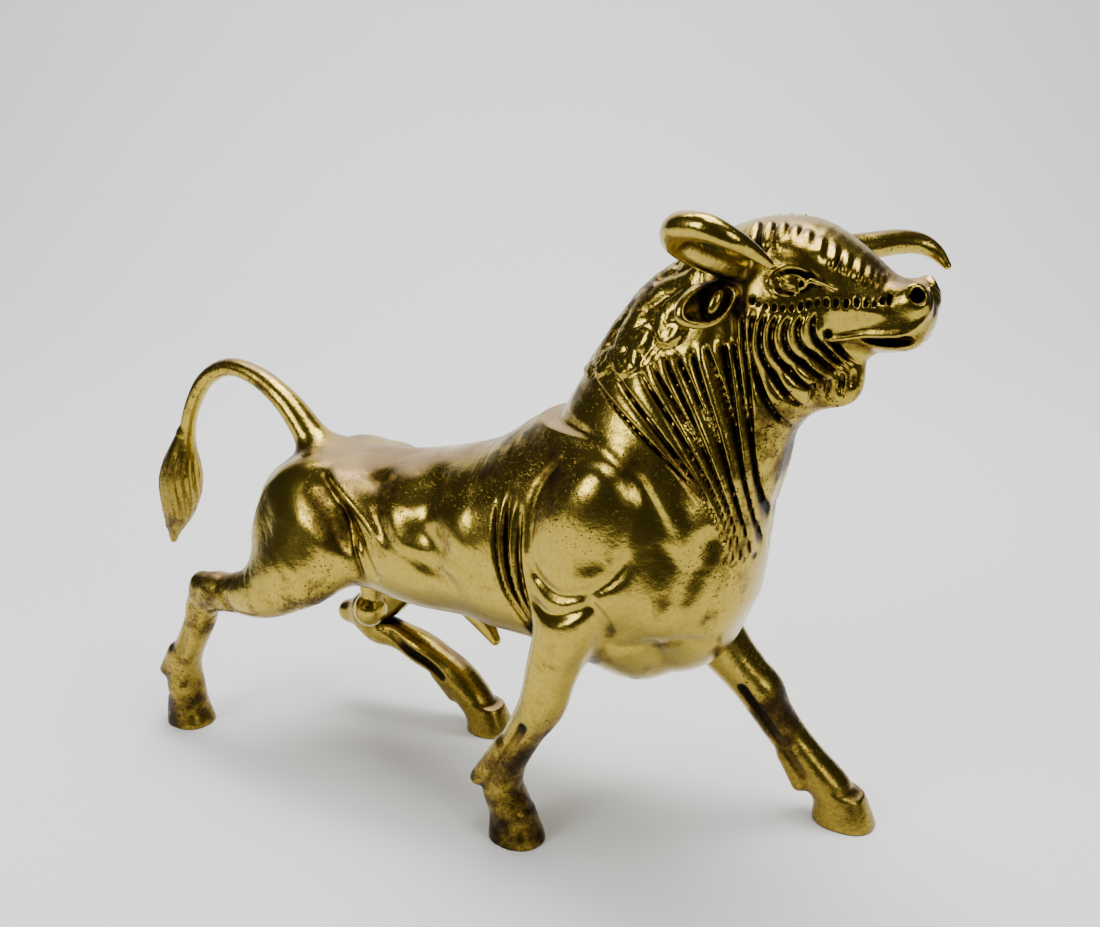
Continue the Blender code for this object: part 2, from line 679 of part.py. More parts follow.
# Carving, drawn on flat maps
class Chart:
    """A flat map of heights over two measures, read back smoothly at any point."""

    def __init__(self, low, high, step):
        self.low = low
        self.step = step
        counts = [int(math.ceil((high[k] - low[k]) / step)) + 1 for k in (0, 1)]
        self.u = (low[0] + step * np.arange(counts[0]))[:, None]
        self.v = (low[1] + step * np.arange(counts[1]))[None, :]
        self.height = np.zeros(counts)

    def near(self, points, reach):
        """The part of the map round a line, with its coordinates."""
        window = []
        for k, axis in enumerate((self.u[:, 0], self.v[0])):
            start = np.searchsorted(axis, points[:, k].min() - reach)
            stop = np.searchsorted(axis, points[:, k].max() + reach)
            window.append(slice(start, stop))
        return tuple(window), self.u[window[0]], self.v[:, window[1]]

    def height_at(self, u, v):
        places = []
        for value, low, size in ((u, self.low[0], len(self.u)), (v, self.low[1], self.v.shape[1])):
            places.append(np.clip((value - low) / self.step, 0.0, size - 1.001))
        i = places[0].astype(np.int32)
        j = places[1].astype(np.int32)
        s = places[0] - i
        t = places[1] - j
        flat = self.height.ravel()
        first = i * self.height.shape[1] + j
        below = flat[first] * (1 - t) + flat[first + 1] * t
        first += self.height.shape[1]
        return below * (1 - s) + (flat[first] * (1 - t) + flat[first + 1] * t) * s


def beside(u, v, line):
    """Share of the way along a line, and signed distance from it, for every point of a map."""
    best = np.full(np.broadcast(u, v).shape, 1e9)
    share = np.zeros_like(best)
    across = np.zeros_like(best)
    steps = len(line) - 1
    for index in range(steps):
        a = line[index]
        along = line[index + 1] - a
        length = along @ along
        t = np.clip(((u - a[0]) * along[0] + (v - a[1]) * along[1]) / length, 0.0, 1.0)
        gap_u = u - a[0] - t * along[0]
        gap_v = v - a[1] - t * along[1]
        gap = np.hypot(gap_u, gap_v)
        nearer = gap < best
        best = np.where(nearer, gap, best)
        share = np.where(nearer, (index + t) / steps, share)
        side = along[0] * gap_v - along[1] * gap_u
        across = np.where(nearer, np.where(side < 0, -gap, gap), across)
    return share, across


def smooth_step(value, start, width):
    """Nought before start, one from start + width on, and smooth between."""
    t = np.clip((value - start) / width, 0.0, 1.0)
    return t * t * (3 - 2 * t)


def fold_lines(z):
    """Where each groove of the neck and jaw lies at one height, in order, with its strength there."""
    lines = []
    strengths = []
    for top_x, top_z, low_x, low_z, bow, end_z in FOLDS:
        t = (top_z - z) / (top_z - low_z)
        lines.append(top_x + (low_x - top_x) * t + 4 * bow * t * (1 - t) * (0.0 < t < 1.0))
        strengths.append(float(smooth_step(top_z - z, -1.0, 5.0) * smooth_step(z - end_z, -4.0, 9.0)))
    lines = np.minimum.accumulate(lines[::-1])[::-1]
    return lines + 0.02 * np.arange(len(lines)), np.array(strengths)


def fold_chart():
    """Neck folds and jaw waves, seen from the side: rounded folds with narrow grooves between."""
    low, high = FOLD_WINDOW
    chart = Chart((low[0], low[2]), (high[0], high[2]), 0.5)
    index = np.arange(len(FOLDS))
    x = chart.u[:, 0]
    for column, z in enumerate(chart.v[0]):
        lines, strengths = fold_lines(z)
        phase = np.interp(x, lines, index)
        widths = np.diff(lines)
        spacing = widths[np.minimum(phase.astype(int), len(widths) - 1)]
        place = phase - np.floor(phase)
        dome = np.minimum(FOLD_RISE, FOLD_RISE_SHARE * spacing) * np.sin(np.pi * place) ** 0.8
        room = np.maximum(np.append(widths, 0.0), np.append(0.0, widths))
        groove = np.minimum(GROOVE_DEPTH, GROOVE_DEPTH_SHARE * np.interp(phase, index, room))
        gap = np.minimum(place, 1 - place) * spacing
        groove = groove * np.exp(-((gap / GROOVE_WIDTH) ** 2))
        share = np.interp(phase, index, strengths)
        inside = smooth_step(x, lines[0] - 2.5, 2.5) * smooth_step(-x, -lines[-1] - 2.5, 2.5)
        chart.height[:, column] = (dome - groove) * share * inside
    share, across = beside(chart.u, chart.v, np.array(JAW_HOLLOW, float))
    fade = smooth_step(share, 0.0, 0.15) * smooth_step(1.0 - share, 0.0, 0.5)
    chart.height -= JAW_HOLLOW_DEPTH * np.exp(-((across / JAW_HOLLOW_WIDTH) ** 2)) * fade
    return chart


def lock(chart, rows, width, curl, strands, rise):
    """One lock of hair: it tapers, its strands run along it, and its end rolls into a curl."""
    line = through(rows, 8 * (len(rows) - 1))
    if curl:
        ahead = line[-1] - line[-2]
        ahead /= np.linalg.norm(ahead)
        beside_end = np.array((-ahead[1], ahead[0])) * math.copysign(1.0, curl)
        centre = line[-1] + beside_end * abs(curl)
        turns = np.radians(np.arange(20, 380, 20))
        reach = abs(curl) * (1 - 0.6 * turns / turns[-1])
        spiral = centre + reach[:, None] * (
            np.outer(np.sin(turns), ahead) - np.outer(np.cos(turns), beside_end)
        )
        line = np.vstack((line, spiral))
    window, u, v = chart.near(line, width)
    share, across = beside(u, v, line)
    half = width / 2 * (0.55 + 0.45 * np.sin(np.pi * (0.18 + 0.62 * share))) * (1 - 0.55 * share)
    place = across / half
    body = np.sqrt(np.clip(1 - place * place, 0.0, 1.0))
    strand = np.abs(np.sin(np.pi * (strands / 2 * place + 0.5)))
    root = smooth_step(share, 0.0, 0.12)
    height = rise * (0.35 + 0.65 * body) * root + STRAND_DEPTH * (strand**0.8 - 1)
    height = np.where(np.abs(place) < 1, height, -9.0)
    chart.height[window] = np.maximum(chart.height[window], height)


def mane_chart():
    """The mane on a map of the neck: mm down from the poll, and mm round from the crest."""
    chart = Chart((-32.0, -75.0), (95.0, 75.0), 0.4)
    down, round_neck = chart.u, np.abs(chart.v)
    wave = round_neck + 0.45 * down + 2.2 * np.sin(down / 5.0) + 1.5 * np.sin(round_neck / 6.0)
    chart.height += 0.9 * np.abs(np.sin(np.pi * wave / 3.0)) - 0.9
    for rows, width, curl, strands, rise in MANE_LOCKS:
        for side in (1, -1):
            turned = [(s, c * side) for s, c in rows]
            lock(chart, turned, width, curl * side, strands, rise)
    edge = np.interp(round_neck, [row[0] for row in MANE_EDGE], [row[1] for row in MANE_EDGE])
    cover = smooth_step(edge - down, -1.5, 3.0) * smooth_step(66.0 - round_neck, 0.0, 5.0)
    return chart, cover


def model_folds(clay):
    folds = fold_chart()
    window, x, y, z = clay.block(*FOLD_WINDOW, 0.0)
    side = smooth_step(np.abs(y), 1.0, 7.0)
    height = folds.height_at(*np.broadcast_arrays(x, z))
    neck = Tube(MANE_AXIS)
    chart, cover = mane_chart()
    clay.field[window] -= height * side

    window, x, y, z = clay.block(*MANE_WINDOW, 0.0)
    place, across, forward, _, _ = neck.chart(x, y, z)
    down = (place * (len(MANE_AXIS) - 1) - 1) * MANE_SPAN
    round_neck = np.degrees(np.arctan2(across, -forward)) * MANE_ROUND
    carved = chart.height.copy()
    relief = chart.height_at(down, round_neck)
    chart.height = cover
    share = chart.height_at(down, round_neck)
    chart.height = carved
    share = share * smooth_step(MANE_FRONT - x, 0.0, 6.0)
    clay.field[window] -= (relief + MANE_SWELL) * share
    for depth, width, *points in CREASES:
        clay.crease(depth, width, points)
# The bull
def model_body(clay):
    clay.add(Tube(TRUNK, ends=TRUNK_ENDS, power=2.25), 1.0)
    clay.add(Tube(NECK, ends=(20.0, 20.0), power=2.1), 30.0)
    for sides, centre, radii, direction, blend in MUSCLES:
        for side in sides:
            placed = (centre[0], centre[1] * side, centre[2])
            clay.add(Muscle(placed, radii, direction), blend)
    # keel of the brisket, root of the tail, throat bag under the jaw, dewlap
    clay.add(Muscle((108, 0, 121), (40, 24, 22), (1.0, 0.0, 0.3)), 14.0)
    clay.add(Muscle((-116, 0, 179), (20, 14, 14), (1.0, 0.0, 0.5)), 14.0)
    clay.add(Muscle((178, 0, 275), (27, 20, 17), (0.35, 0.0, 1.0)), 14.0)
    clay.add(Muscle((191, 0, 277.5), (20, 8, 17.5), (1.0, 0.0, 0.0), 2.6), 9.0)


def model_legs(clay):
    for rows, blend in ((RIGHT_FORE, 9.0), (LEFT_FORE, 9.0), (RIGHT_HIND, 12.0), (LEFT_HIND, 12.0)):
        clay.add(Tube(rows), blend)
    for centre, radii, direction, blend in LEG_FORMS:
        clay.add(Muscle(centre, radii, direction), blend)
    for root_x, root_z, root, tip_x, tip_z, tip, y in HEELS:
        for side in (-HEEL_SPREAD, HEEL_SPREAD):
            rows = ((root_x, y + 0.7 * side, root_z, root), (tip_x, y + side, tip_z, tip))
            clay.add(Tube(rows, smooth=2), 3.5)
    for sizes in HOOVES:
        clay.add(Hoof(*sizes), 4.0)
    for rows in LEG_GROOVES:
        clay.cut(Tube(rows), LEG_GROOVE_BLEND)


def model_rear(clay):
    clay.add(Tube(TAIL), 10.0)
    clay.add(Tube(TUFT), 4.0)
    clay.add(Muscle((-88, 0, 91), (11.5, 10.5, 10.5), (0.3, 0.0, 1.0)), 1.2)
    clay.add(Muscle((-86, 0, 108), (14, 7.5, 8), (0.0, 0.0, 1.0)), 3.0)
    clay.add(Tube(((-15, 0, 113, 9), (-5, 0, 103, 7), (4, 0, 91, 3.5))), 6.0)
    clay.add(Muscle((28, 0, 118), (30, 22, 10), (1.0, 0.0, 0.0)), 10.0)


def hoop(centre, facing, reach, radius):
    """A ring of round section, lying square to the way it faces."""
    frame = Muscle(centre, (1, 1, 1), facing).frame
    rows = []
    for angle in np.radians(np.arange(0, 361, 24)):
        x, y, z = centre + reach * (math.cos(angle) * frame[1] + math.sin(angle) * frame[2])
        rows.append((x, y, z, radius))
    return Tube(rows, smooth=2)


def model_skull(clay):
    clay.add(Tube(HEAD, ends=HEAD_ENDS, power=2.2), 10.0)
    for centre, radii, direction, blend in FACE:
        clay.add_pair(Muscle(centre, radii, direction), blend)
    # lower jaw, and the skin between it and the dewlap
    clay.add(Muscle((220, 0, 297), (13, 10, 7), (1.0, 0.0, 0.1)), 4.0)
    clay.add(Muscle((205, 0, 291), (10, 8, 6), (1.0, 0.0, 0.0)), 5.0)


def model_features(clay):
    for rows in (RIGHT_HORN, LEFT_HORN):
        clay.add(Tube(rows), 5.0)
    # ears: a leaf hollowed deep on its outer side, with a lobe at its root
    clay.add_pair(Tube(((156, 20, 318, 7), (153, 31, 316.5, 6), (149, 40, 313.5, 5))), 4.0)
    x, y, z = EAR
    clay.add_pair(Muscle(EAR, (16, 6.5, 10.5), EAR_LINE, 1.8), 4.0)
    clay.cut_pair(Muscle((x + 3.7, y + 4.9, z + 1.8), (13.8, 7.8, 8.6), EAR_LINE, 1.8), 0.8)
    clay.add_pair(Muscle((x + 4.5, y - 0.5, z + 2.0), (7.0, 3.6, 3.0), (-0.3, 0.4, -1.0)), 2.5)
    # forehead locks, hanging over the edge of the brow in a row
    line = through(BROW_ROW, BROW_LOCKS - 1)
    for index, (x, y, z) in enumerate(line):
        size = 1.0 - 0.5 * index / (BROW_LOCKS - 1)
        radii = (BROW_LOCK[0] * size, BROW_LOCK[1] * size**0.5, BROW_LOCK[2] * size**0.5)
        clay.add_pair(Muscle((x, y, z), radii, (0.12, 0.75, -0.62)), 0.8)
    # eye: socket and ball
    clay.cut_pair(Muscle(EYE_SOCKET, (9.0, 5.6, 6.8), EYE_LINE), 1.5)
    clay.add_pair(Muscle(EYE_BALL, (5.7, 4.7, 3.4), EYE_LINE), 0.8)
    # nostril: swollen rim with a deep hole
    clay.add_pair(Muscle((232, 10.5, 317), (7.5, 6, 6.3), (1.0, 0.5, 0.0)), 3.0)
    clay.add_pair(hoop(NOSTRIL, NOSTRIL_LINE, 4.9, 1.3), 1.0)
    clay.cut_pair(Muscle(NOSTRIL, (8.0, 3.4, 3.2), NOSTRIL_LINE), 0.8)
    # mouth: a gap between the upper lip's edge and the lower lip
    clay.cut_pair(Muscle((223, 16, 298.5), (13, 6, 2.6), (1.0, -0.1, 0.08)), 1.5)
    line = [(x, y, z, 1.5) for x, y, z in LIP_LINE]
    clay.add_pair(Tube(line), 1.5)


def figure(cell, low=GRID_LOW, high=GRID_HIGH):
    clay = Clay(low, high, cell)
    model_body(clay)
    model_legs(clay)
    model_rear(clay)
    model_skull(clay)
    model_folds(clay)
    model_features(clay)
    return clay


# The mesh
def drop_crumbs(mesh):
    """Keep only the largest joined piece."""
    seen = set()
    pieces = []
    for start in mesh.verts:
        if start in seen:
            continue
        piece = [start]
        seen.add(start)
        for vert in piece:
            for edge in vert.link_edges:
                other = edge.other_vert(vert)
                if other not in seen:
                    seen.add(other)
                    piece.append(other)
        pieces.append(piece)
    pieces.sort(key=len)
    for piece in pieces[:-1]:
        bmesh.ops.delete(mesh, geom=piece, context="VERTS")


def thin(body, triangles):
    """Collapse the skin to about the given number of triangles."""
    modifier = body.modifiers.new("thin", "DECIMATE")
    modifier.ratio = triangles / (2 * len(body.data.polygons))
    modifier.use_collapse_triangulate = True
    graph = bpy.context.evaluated_depsgraph_get()
    light = bpy.data.meshes.new_from_object(body.evaluated_get(graph))
    body.modifiers.clear()
    heavy = body.data
    body.data = light
    bpy.data.meshes.remove(heavy)


def flatten_soles(mesh):
    """Cut everything below the ground away and close the four soles."""
    everything = mesh.verts[:] + mesh.edges[:] + mesh.faces[:]
    bmesh.ops.bisect_plane(
        mesh, geom=everything, dist=0.02, plane_co=(0, 0, 0), plane_no=(0, 0, 1), clear_inner=True
    )
    rim = [edge for edge in mesh.edges if edge.is_boundary]
    for edge in rim:
        for vert in edge.verts:
            vert.co.z = 0.0
    bmesh.ops.contextual_create(mesh, geom=rim)
    bmesh.ops.triangulate(mesh, faces=[face for face in mesh.faces if len(face.verts) > 3])


def built(place):
    """A drawn place moved for the barrel and leg lengths, in metres from the outline's middle."""
    barrel = min(max(place.x - HIP, 0.0), DRAWN_BARREL)
    leg = min(place.z, DRAWN_LEG)
    x = place.x + barrel * (BARREL_LENGTH / DRAWN_BARREL - 1)
    z = place.z + leg * (LEG_LENGTH / DRAWN_LEG - 1)
    middle = MIDDLE[0] + (BARREL_LENGTH - DRAWN_BARREL) / 2
    return ((x - middle) * UNIT, (place.y - MIDDLE[1]) * UNIT, z * UNIT)


def brass():
    material = bpy.data.materials.new("old brass")
    material.use_nodes = True
    shader = material.node_tree.nodes["Principled BSDF"]
    shader.inputs["Base Color"].default_value = (0.62, 0.41, 0.12, 1.0)
    shader.inputs["Metallic"].default_value = 1.0
    shader.inputs["Roughness"].default_value = 0.3
    material.diffuse_color = (0.62, 0.41, 0.12, 1.0)
    return material


def main():
    for item in list(bpy.data.objects):
        bpy.data.objects.remove(item, do_unlink=True)
    collection = bpy.data.collections.new("bull sculpture")
    bpy.context.scene.collection.children.link(collection)

    vertices, quads = skin(figure(CELL))
    data = bpy.data.meshes.new("bull")
    data.from_pydata(vertices.tolist(), [], quads.tolist())
    body = bpy.data.objects.new("bull", data)
    collection.objects.link(body)
    bpy.context.view_layer.update()
    thin(body, SKIN_TRIANGLES)

    mesh = bmesh.new()
    mesh.from_mesh(body.data)
    drop_crumbs(mesh)
    flatten_soles(mesh)
    for vert in mesh.verts:
        vert.co = built(vert.co)
    bmesh.ops.recalc_face_normals(mesh, faces=mesh.faces[:])
    mesh.to_mesh(body.data)
    mesh.free()
    body.data.materials.append(brass())


main()
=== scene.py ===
import math

import bpy
import numpy as np
from mathutils import Matrix, Vector


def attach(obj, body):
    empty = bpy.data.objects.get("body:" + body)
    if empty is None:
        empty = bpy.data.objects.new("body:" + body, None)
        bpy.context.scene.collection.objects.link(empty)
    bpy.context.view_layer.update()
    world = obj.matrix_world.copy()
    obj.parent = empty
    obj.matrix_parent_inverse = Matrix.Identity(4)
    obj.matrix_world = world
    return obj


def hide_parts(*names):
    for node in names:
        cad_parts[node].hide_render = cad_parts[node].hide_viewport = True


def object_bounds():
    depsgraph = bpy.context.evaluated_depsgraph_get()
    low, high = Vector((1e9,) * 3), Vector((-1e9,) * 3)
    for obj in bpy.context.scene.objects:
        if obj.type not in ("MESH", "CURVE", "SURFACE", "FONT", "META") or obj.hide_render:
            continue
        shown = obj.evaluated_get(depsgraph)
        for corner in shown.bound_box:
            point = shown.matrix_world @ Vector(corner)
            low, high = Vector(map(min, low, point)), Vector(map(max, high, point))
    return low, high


# A striding bull in old brass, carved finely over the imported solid.
# Tables are in figure millimetres: +X the way it walks, +Y its left, +Z up, mid-plane at y = 0.
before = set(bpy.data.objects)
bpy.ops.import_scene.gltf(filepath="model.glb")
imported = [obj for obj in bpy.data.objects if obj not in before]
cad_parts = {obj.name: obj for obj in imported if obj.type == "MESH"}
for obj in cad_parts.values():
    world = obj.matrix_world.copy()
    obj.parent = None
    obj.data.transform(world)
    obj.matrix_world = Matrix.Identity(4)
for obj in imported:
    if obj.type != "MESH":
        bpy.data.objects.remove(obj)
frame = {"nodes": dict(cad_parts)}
CAD_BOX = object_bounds()

# Grid of the fine carving
CELL = 1.17
GRID_LOW = (-278.0, -106.0, -9.0)
GRID_HIGH = (262.0, 90.0, 374.0)
FAR = 40.0

# Trunk, from rump to breast: x, y, z, up, down, side
TRUNK = (
    (-132, 0, 156, 30, 34, 34),
    (-106, 0, 156, 39, 42, 43),
    (-62, 0, 157, 41.5, 44, 44),
    (-22, 0, 159, 47.5, 46, 46),
    (16, 0, 162, 56.5, 51.5, 50),
    (50, 0, 166, 69, 59, 54),
    (84, 0, 166, 68, 65, 55),
    (110, 0, 164, 60, 66, 50),
    (126, 0, 163, 44, 52, 40),
)
TRUNK_ENDS = (20.0, 35.0)

# Neck, from the poll down to the breast: x, y, z, throat, crest, side
NECK = (
    (152, 0, 312, 30, 34, 27),
    (139, 0, 289, 44, 46, 33),
    (125, 0, 261, 57, 51, 39),
    (112, 0, 231, 62, 57, 46),
    (102, 0, 200, 60.5, 62, 51),
    (96, 0, 172, 56, 62, 50),
)

# Head, from the back of the skull to the muzzle: x, y, z, down, up, side
HEAD = (
    (146, 0, 315, 27, 31, 26),
    (162, 0, 318, 31, 31.5, 30),
    (180, 0, 317, 32, 31, 29),
    (198, 0, 313.5, 26, 24.5, 23.5),
    (213, 0, 310, 19, 17, 18.5),
    (227, 0, 308, 14.5, 14, 17),
)
HEAD_ENDS = (20.0, 14.0)

# Legs, from the body down: x, y, z, front, back, side
RIGHT_FORE = (
    (92, -42, 168, 26, 25, 18),
    (82, -47, 146, 20, 21, 16.5),
    (76, -50, 126, 15.5, 17, 15),
    (71, -52, 109, 13.5, 14.5, 13.5),
    (66, -53, 91, 13, 12.5, 13),
    (57, -53, 74, 10.5, 11, 11),
    (50, -53, 61, 10, 10.5, 10.5),
    (44, -52, 49, 10, 11.5, 10.5),
    (41, -51, 38, 10, 12, 11),
    (40.5, -50.5, 29, 10.5, 13, 12),
    (43.5, -50, 20, 11.5, 12, 12),
    (45.5, -50, 15, 11.5, 11.5, 11.5),
)
LEFT_FORE = (
    (108, 36, 140, 26, 26, 19),
    (119, 39, 117, 19, 20, 17),
    (133, 43, 98, 15, 15, 15),
    (146, 46, 83, 13.5, 13, 13.5),
    (154, 48, 73, 13, 13, 13),
    (164, 50, 58, 10.5, 12, 11.5),
    (174, 52, 45, 10, 12, 10.5),
    (184, 53, 34, 10, 12.5, 11),
    (191, 54, 26, 11, 12.5, 12),
    (197, 55, 19, 11.5, 11.5, 12),
    (200, 55, 15, 11, 11, 11.5),
)
RIGHT_HIND = (
    (-86, -37, 152, 28, 32, 19),
    (-106, -44, 131, 25, 24, 18.5),
    (-132, -46, 113, 17, 17.5, 15.5),
    (-154, -46.5, 105.5, 12.5, 13, 12.5),
    (-172, -46, 102, 12, 12, 11.5),
    (-184, -46, 93, 11.5, 11, 10.5),
    (-189, -46, 79, 10, 10, 9.5),
    (-196, -46, 66, 9.5, 9.5, 9.3),
    (-204, -45, 51, 9.3, 10.5, 9.5),
    (-209, -43.5, 38, 10.5, 12.5, 11),
    (-210, -43, 28, 11.5, 12.5, 12),
    (-210, -42.5, 20, 12, 11, 12),
    (-210, -42, 15, 11.5, 11, 11.5),
)
LEFT_HIND = (
    (-62, 36, 142, 31, 30, 19),
    (-76, 40, 118, 23, 23, 18),
    (-92, 41, 96, 17, 16, 15),
    (-106, 40, 79, 13.5, 13, 12.5),
    (-117, 39, 67, 12, 13, 11.5),
    (-113, 39.5, 57, 11.5, 12, 10.5),
    (-98, 40.5, 53.5, 10.5, 9.5, 9.5),
    (-82, 42, 48, 10, 9.2, 9.5),
    (-66, 43.5, 41.5, 10, 10.5, 10.5),
    (-52, 44, 32, 11.5, 12, 12),
    (-42, 44, 22, 12, 11.5, 12),
    (-37, 44, 16, 11.5, 11, 11.5),
)

# Hooves: x, y, heading in degrees, toe reach, heel reach, half width, crown height
HOOVES = (
    (46.5, -49.5, -8, 17.5, 15, 14.5, 18),
    (204.5, 55.5, -4, 19, 17.5, 15, 19),
    (-210, -42, -4, 16.5, 14.5, 14.5, 18),
    (-29, 45, 0, 16.5, 14.5, 14.5, 18),
)
HOOF_LEAN = 3.0

# Heel bumps above each hoof, in pairs: root x, z, radius, tip x, z, radius, middle y
HEELS = (
    (45, 60, 7.5, 27.5, 37, 5.0, -52.5),
    (172, 37, 6.5, 180, 21.5, 5.0, 52.5),
    (-211, 52, 6.5, -220.5, 38, 4.8, -43.5),
    (-64, 33, 6.5, -53.5, 21, 4.6, 44.5),
)
HEEL_SPREAD = 5.0

# Swellings of the legs: centre, reach along, across and up, direction, blend
LEG_FORMS = (
    # near fore leg: forearm, knee
    ((84, -56, 138), (22, 9, 11), (0.45, 0.0, 1.0), 6),
    ((67, -56, 93), (13, 9, 9), (0.4, 0.0, 1.0), 5),
    # far fore leg: forearm, knee
    ((129, 46, 105), (20, 10, 11), (-0.8, 0.0, 1.0), 6),
    ((155, 48, 76), (12, 10, 10), (-0.6, 0.0, 1.0), 5),
    # near hind leg: gaskin, hock, point of the hock
    ((-127, -49, 110.5), (28, 12, 13), (1.0, 0.0, 0.32), 5),
    ((-170, -48, 104), (12.5, 10, 12.5), (0.25, 0.0, 1.0), 3),
    ((-183, -46, 104.5), (9.5, 8, 9), (1.0, 0.0, 0.0), 5),
    # far hind leg: gaskin, hock, point of the hock, shin
    ((-104, 39, 84), (17, 12, 12), (0.6, 0.0, 1.0), 6),
    ((-121, 38, 67), (13, 10.5, 12), (1.0, 0.0, 0.4), 5),
    ((-135, 38, 63.5), (8.5, 7, 8), (1.0, 0.0, 0.0), 6),
    ((-78, 42, 47), (22, 10.5, 9), (1.0, 0.0, -0.42), 6),
)
# Grooves of the legs: x, y, z, radius along each
LEG_GROOVES = (
    ((60, -64, 80, 1.0), (50, -64.5, 61, 1.5), (42, -63.5, 46, 1.5), (36, -63, 32, 1.0)),
    ((147, 34, 81, 1.0), (161, 38, 61, 1.6), (172, 41, 44, 1.6), (183, 41.5, 30, 1.0)),
    ((-185, -57, 93, 1.0), (-192, -57, 76, 1.5), (-200, -56, 58, 1.5), (-206, -56, 42, 1.0)),
    ((-153, -57, 120, 1.5), (-154.5, -61, 110, 2.6), (-152, -58, 98, 1.5)),
    ((-182, -59, 95, 1.2), (-171, -60.5, 96, 2.0), (-160, -59, 100, 1.2)),
    ((-102, 29.5, 62, 1.0), (-86, 31.5, 50.5, 1.5), (-70, 33, 43.5, 1.5), (-58, 33, 35, 1.0)),
)
LEG_GROOVE_BLEND = 4.0

# Tail: x, y, z, front, back, side
TAIL = (
    (-112, 0, 182, 16, 14, 15),
    (-127, 0, 199, 10.5, 9.5, 11),
    (-144, 0, 217, 7.5, 8, 8.5),
    (-166, 0, 231, 6.3, 6.3, 7),
    (-190, 0, 235, 5.7, 5.7, 6.2),
    (-212, 0, 224, 5.3, 5.3, 5.8),
    (-227, 0, 202, 4.9, 4.9, 5.4),
    (-235, 0, 178, 5, 5, 5.5),
)
TUFT = (
    (-235, 0, 184, 5.5, 5.5, 6),
    (-239, 0, 167, 11.5, 11.5, 11),
    (-243, 0, 149, 15, 14.5, 13.5),
    (-247, 0, 131, 11.5, 11.5, 10.5),
    (-253, 0, 114, 5, 5, 5),
    (-255, 0, 106, 2.5, 2.5, 2.5),
)

# Horns, round: x, y, z, radius
RIGHT_HORN = (
    (163, -8, 327, 9),
    (158, -19, 328.5, 8),
    (154, -30, 330, 7.5),
    (150, -42, 333.5, 7.2),
    (144.5, -58, 339.5, 7),
    (142.5, -71, 346, 6.8),
    (149, -81, 352, 6.6),
    (162, -85.5, 353, 6),
    (172, -83, 349, 5),
    (178, -76, 344, 3.8),
    (184, -67, 337, 2.2),
)
LEFT_HORN = (
    (166, 10, 328, 9),
    (178, 24, 330, 8),
    (189, 36, 331, 7.2),
    (198, 46, 332, 6.8),
    (207, 57, 333, 6.3),
    (216, 65, 332, 5.4),
    (224, 67, 328, 4),
    (231, 64, 322, 2.2),
)

# Muscles: sides, centre on the left, reach along, across and up, direction, blend
BOTH = (1, -1)
RIGHT = (-1,)
LEFT = (1,)
MUSCLES = (
    # shoulder blade, upper arm with its two bulges, point of the shoulder, breast
    (BOTH, (94, 38, 196), (44, 18, 30), (0.35, 0.0, 1.0), 14),
    (BOTH, (88, 43, 172), (33, 15, 24), (-0.75, 0.0, 0.75), 7),
    (BOTH, (89, 50, 197), (35, 13, 21), (0.45, 0.0, 1.0), 4),
    (BOTH, (133, 34, 204), (27, 14, 14), (-0.35, 0.0, 1.0), 5),
    (BOTH, (121, 34, 164), (30, 16, 21), (-0.3, 0.0, 1.0), 12),
    (BOTH, (135, 15, 150), (31, 16, 17), (0.25, 0.0, 1.0), 12),
    # barrel
    (BOTH, (30, 22, 160), (46, 28, 38), (1.0, 0.0, 0.0), 16),
    (BOTH, (-30, 18, 153), (52, 28, 34), (1.0, 0.0, 0.0), 16),
    # croup, haunches, back of the stretched thigh, hip bone
    (BOTH, (-106, 24, 166), (35, 21, 28), (1.0, 0.0, 0.25), 14),
    (RIGHT, (-114, 32, 146), (41, 18, 27), (0.3, 0.0, 1.0), 12),
    (RIGHT, (-130, 34, 139), (27, 14, 15), (0.1, 0.0, 1.0), 10),
    (LEFT, (-104, 32, 152), (36, 18, 28), (-0.3, 0.0, 1.0), 12),
    (BOTH, (-70, 31, 178), (17, 8, 8), (1.0, 0.0, -0.7), 12),
)

# Swellings on the mid-plane, with their squareness before the blend
MIDDLE_FORMS = (
    # keel of the brisket, root of the tail, throat bag under the jaw, dewlap
    ((108, 0, 121), (40, 24, 22), (1.0, 0.0, 0.3), 2.0, 14),
    ((-116, 0, 179), (20, 14, 14), (1.0, 0.0, 0.5), 2.0, 14),
    ((178, 0, 275), (27, 20, 17), (0.35, 0.0, 1.0), 2.0, 14),
    ((191, 0, 277.5), (20, 8, 17.5), (1.0, 0.0, 0.0), 2.6, 9),
)
# Between the hind legs, and under the belly; then the sheath: x, y, z, radius
UNDER_FORMS = (
    ((-88, 0, 91), (11.5, 10.5, 10.5), (0.3, 0.0, 1.0), 1.2),
    ((-86, 0, 108), (14, 7.5, 8), (0.0, 0.0, 1.0), 3),
    ((28, 0, 118), (30, 22, 10), (1.0, 0.0, 0.0), 10),
)
SHEATH = ((-15, 0, 113, 9), (-5, 0, 103, 7), (4, 0, 91, 3.5))

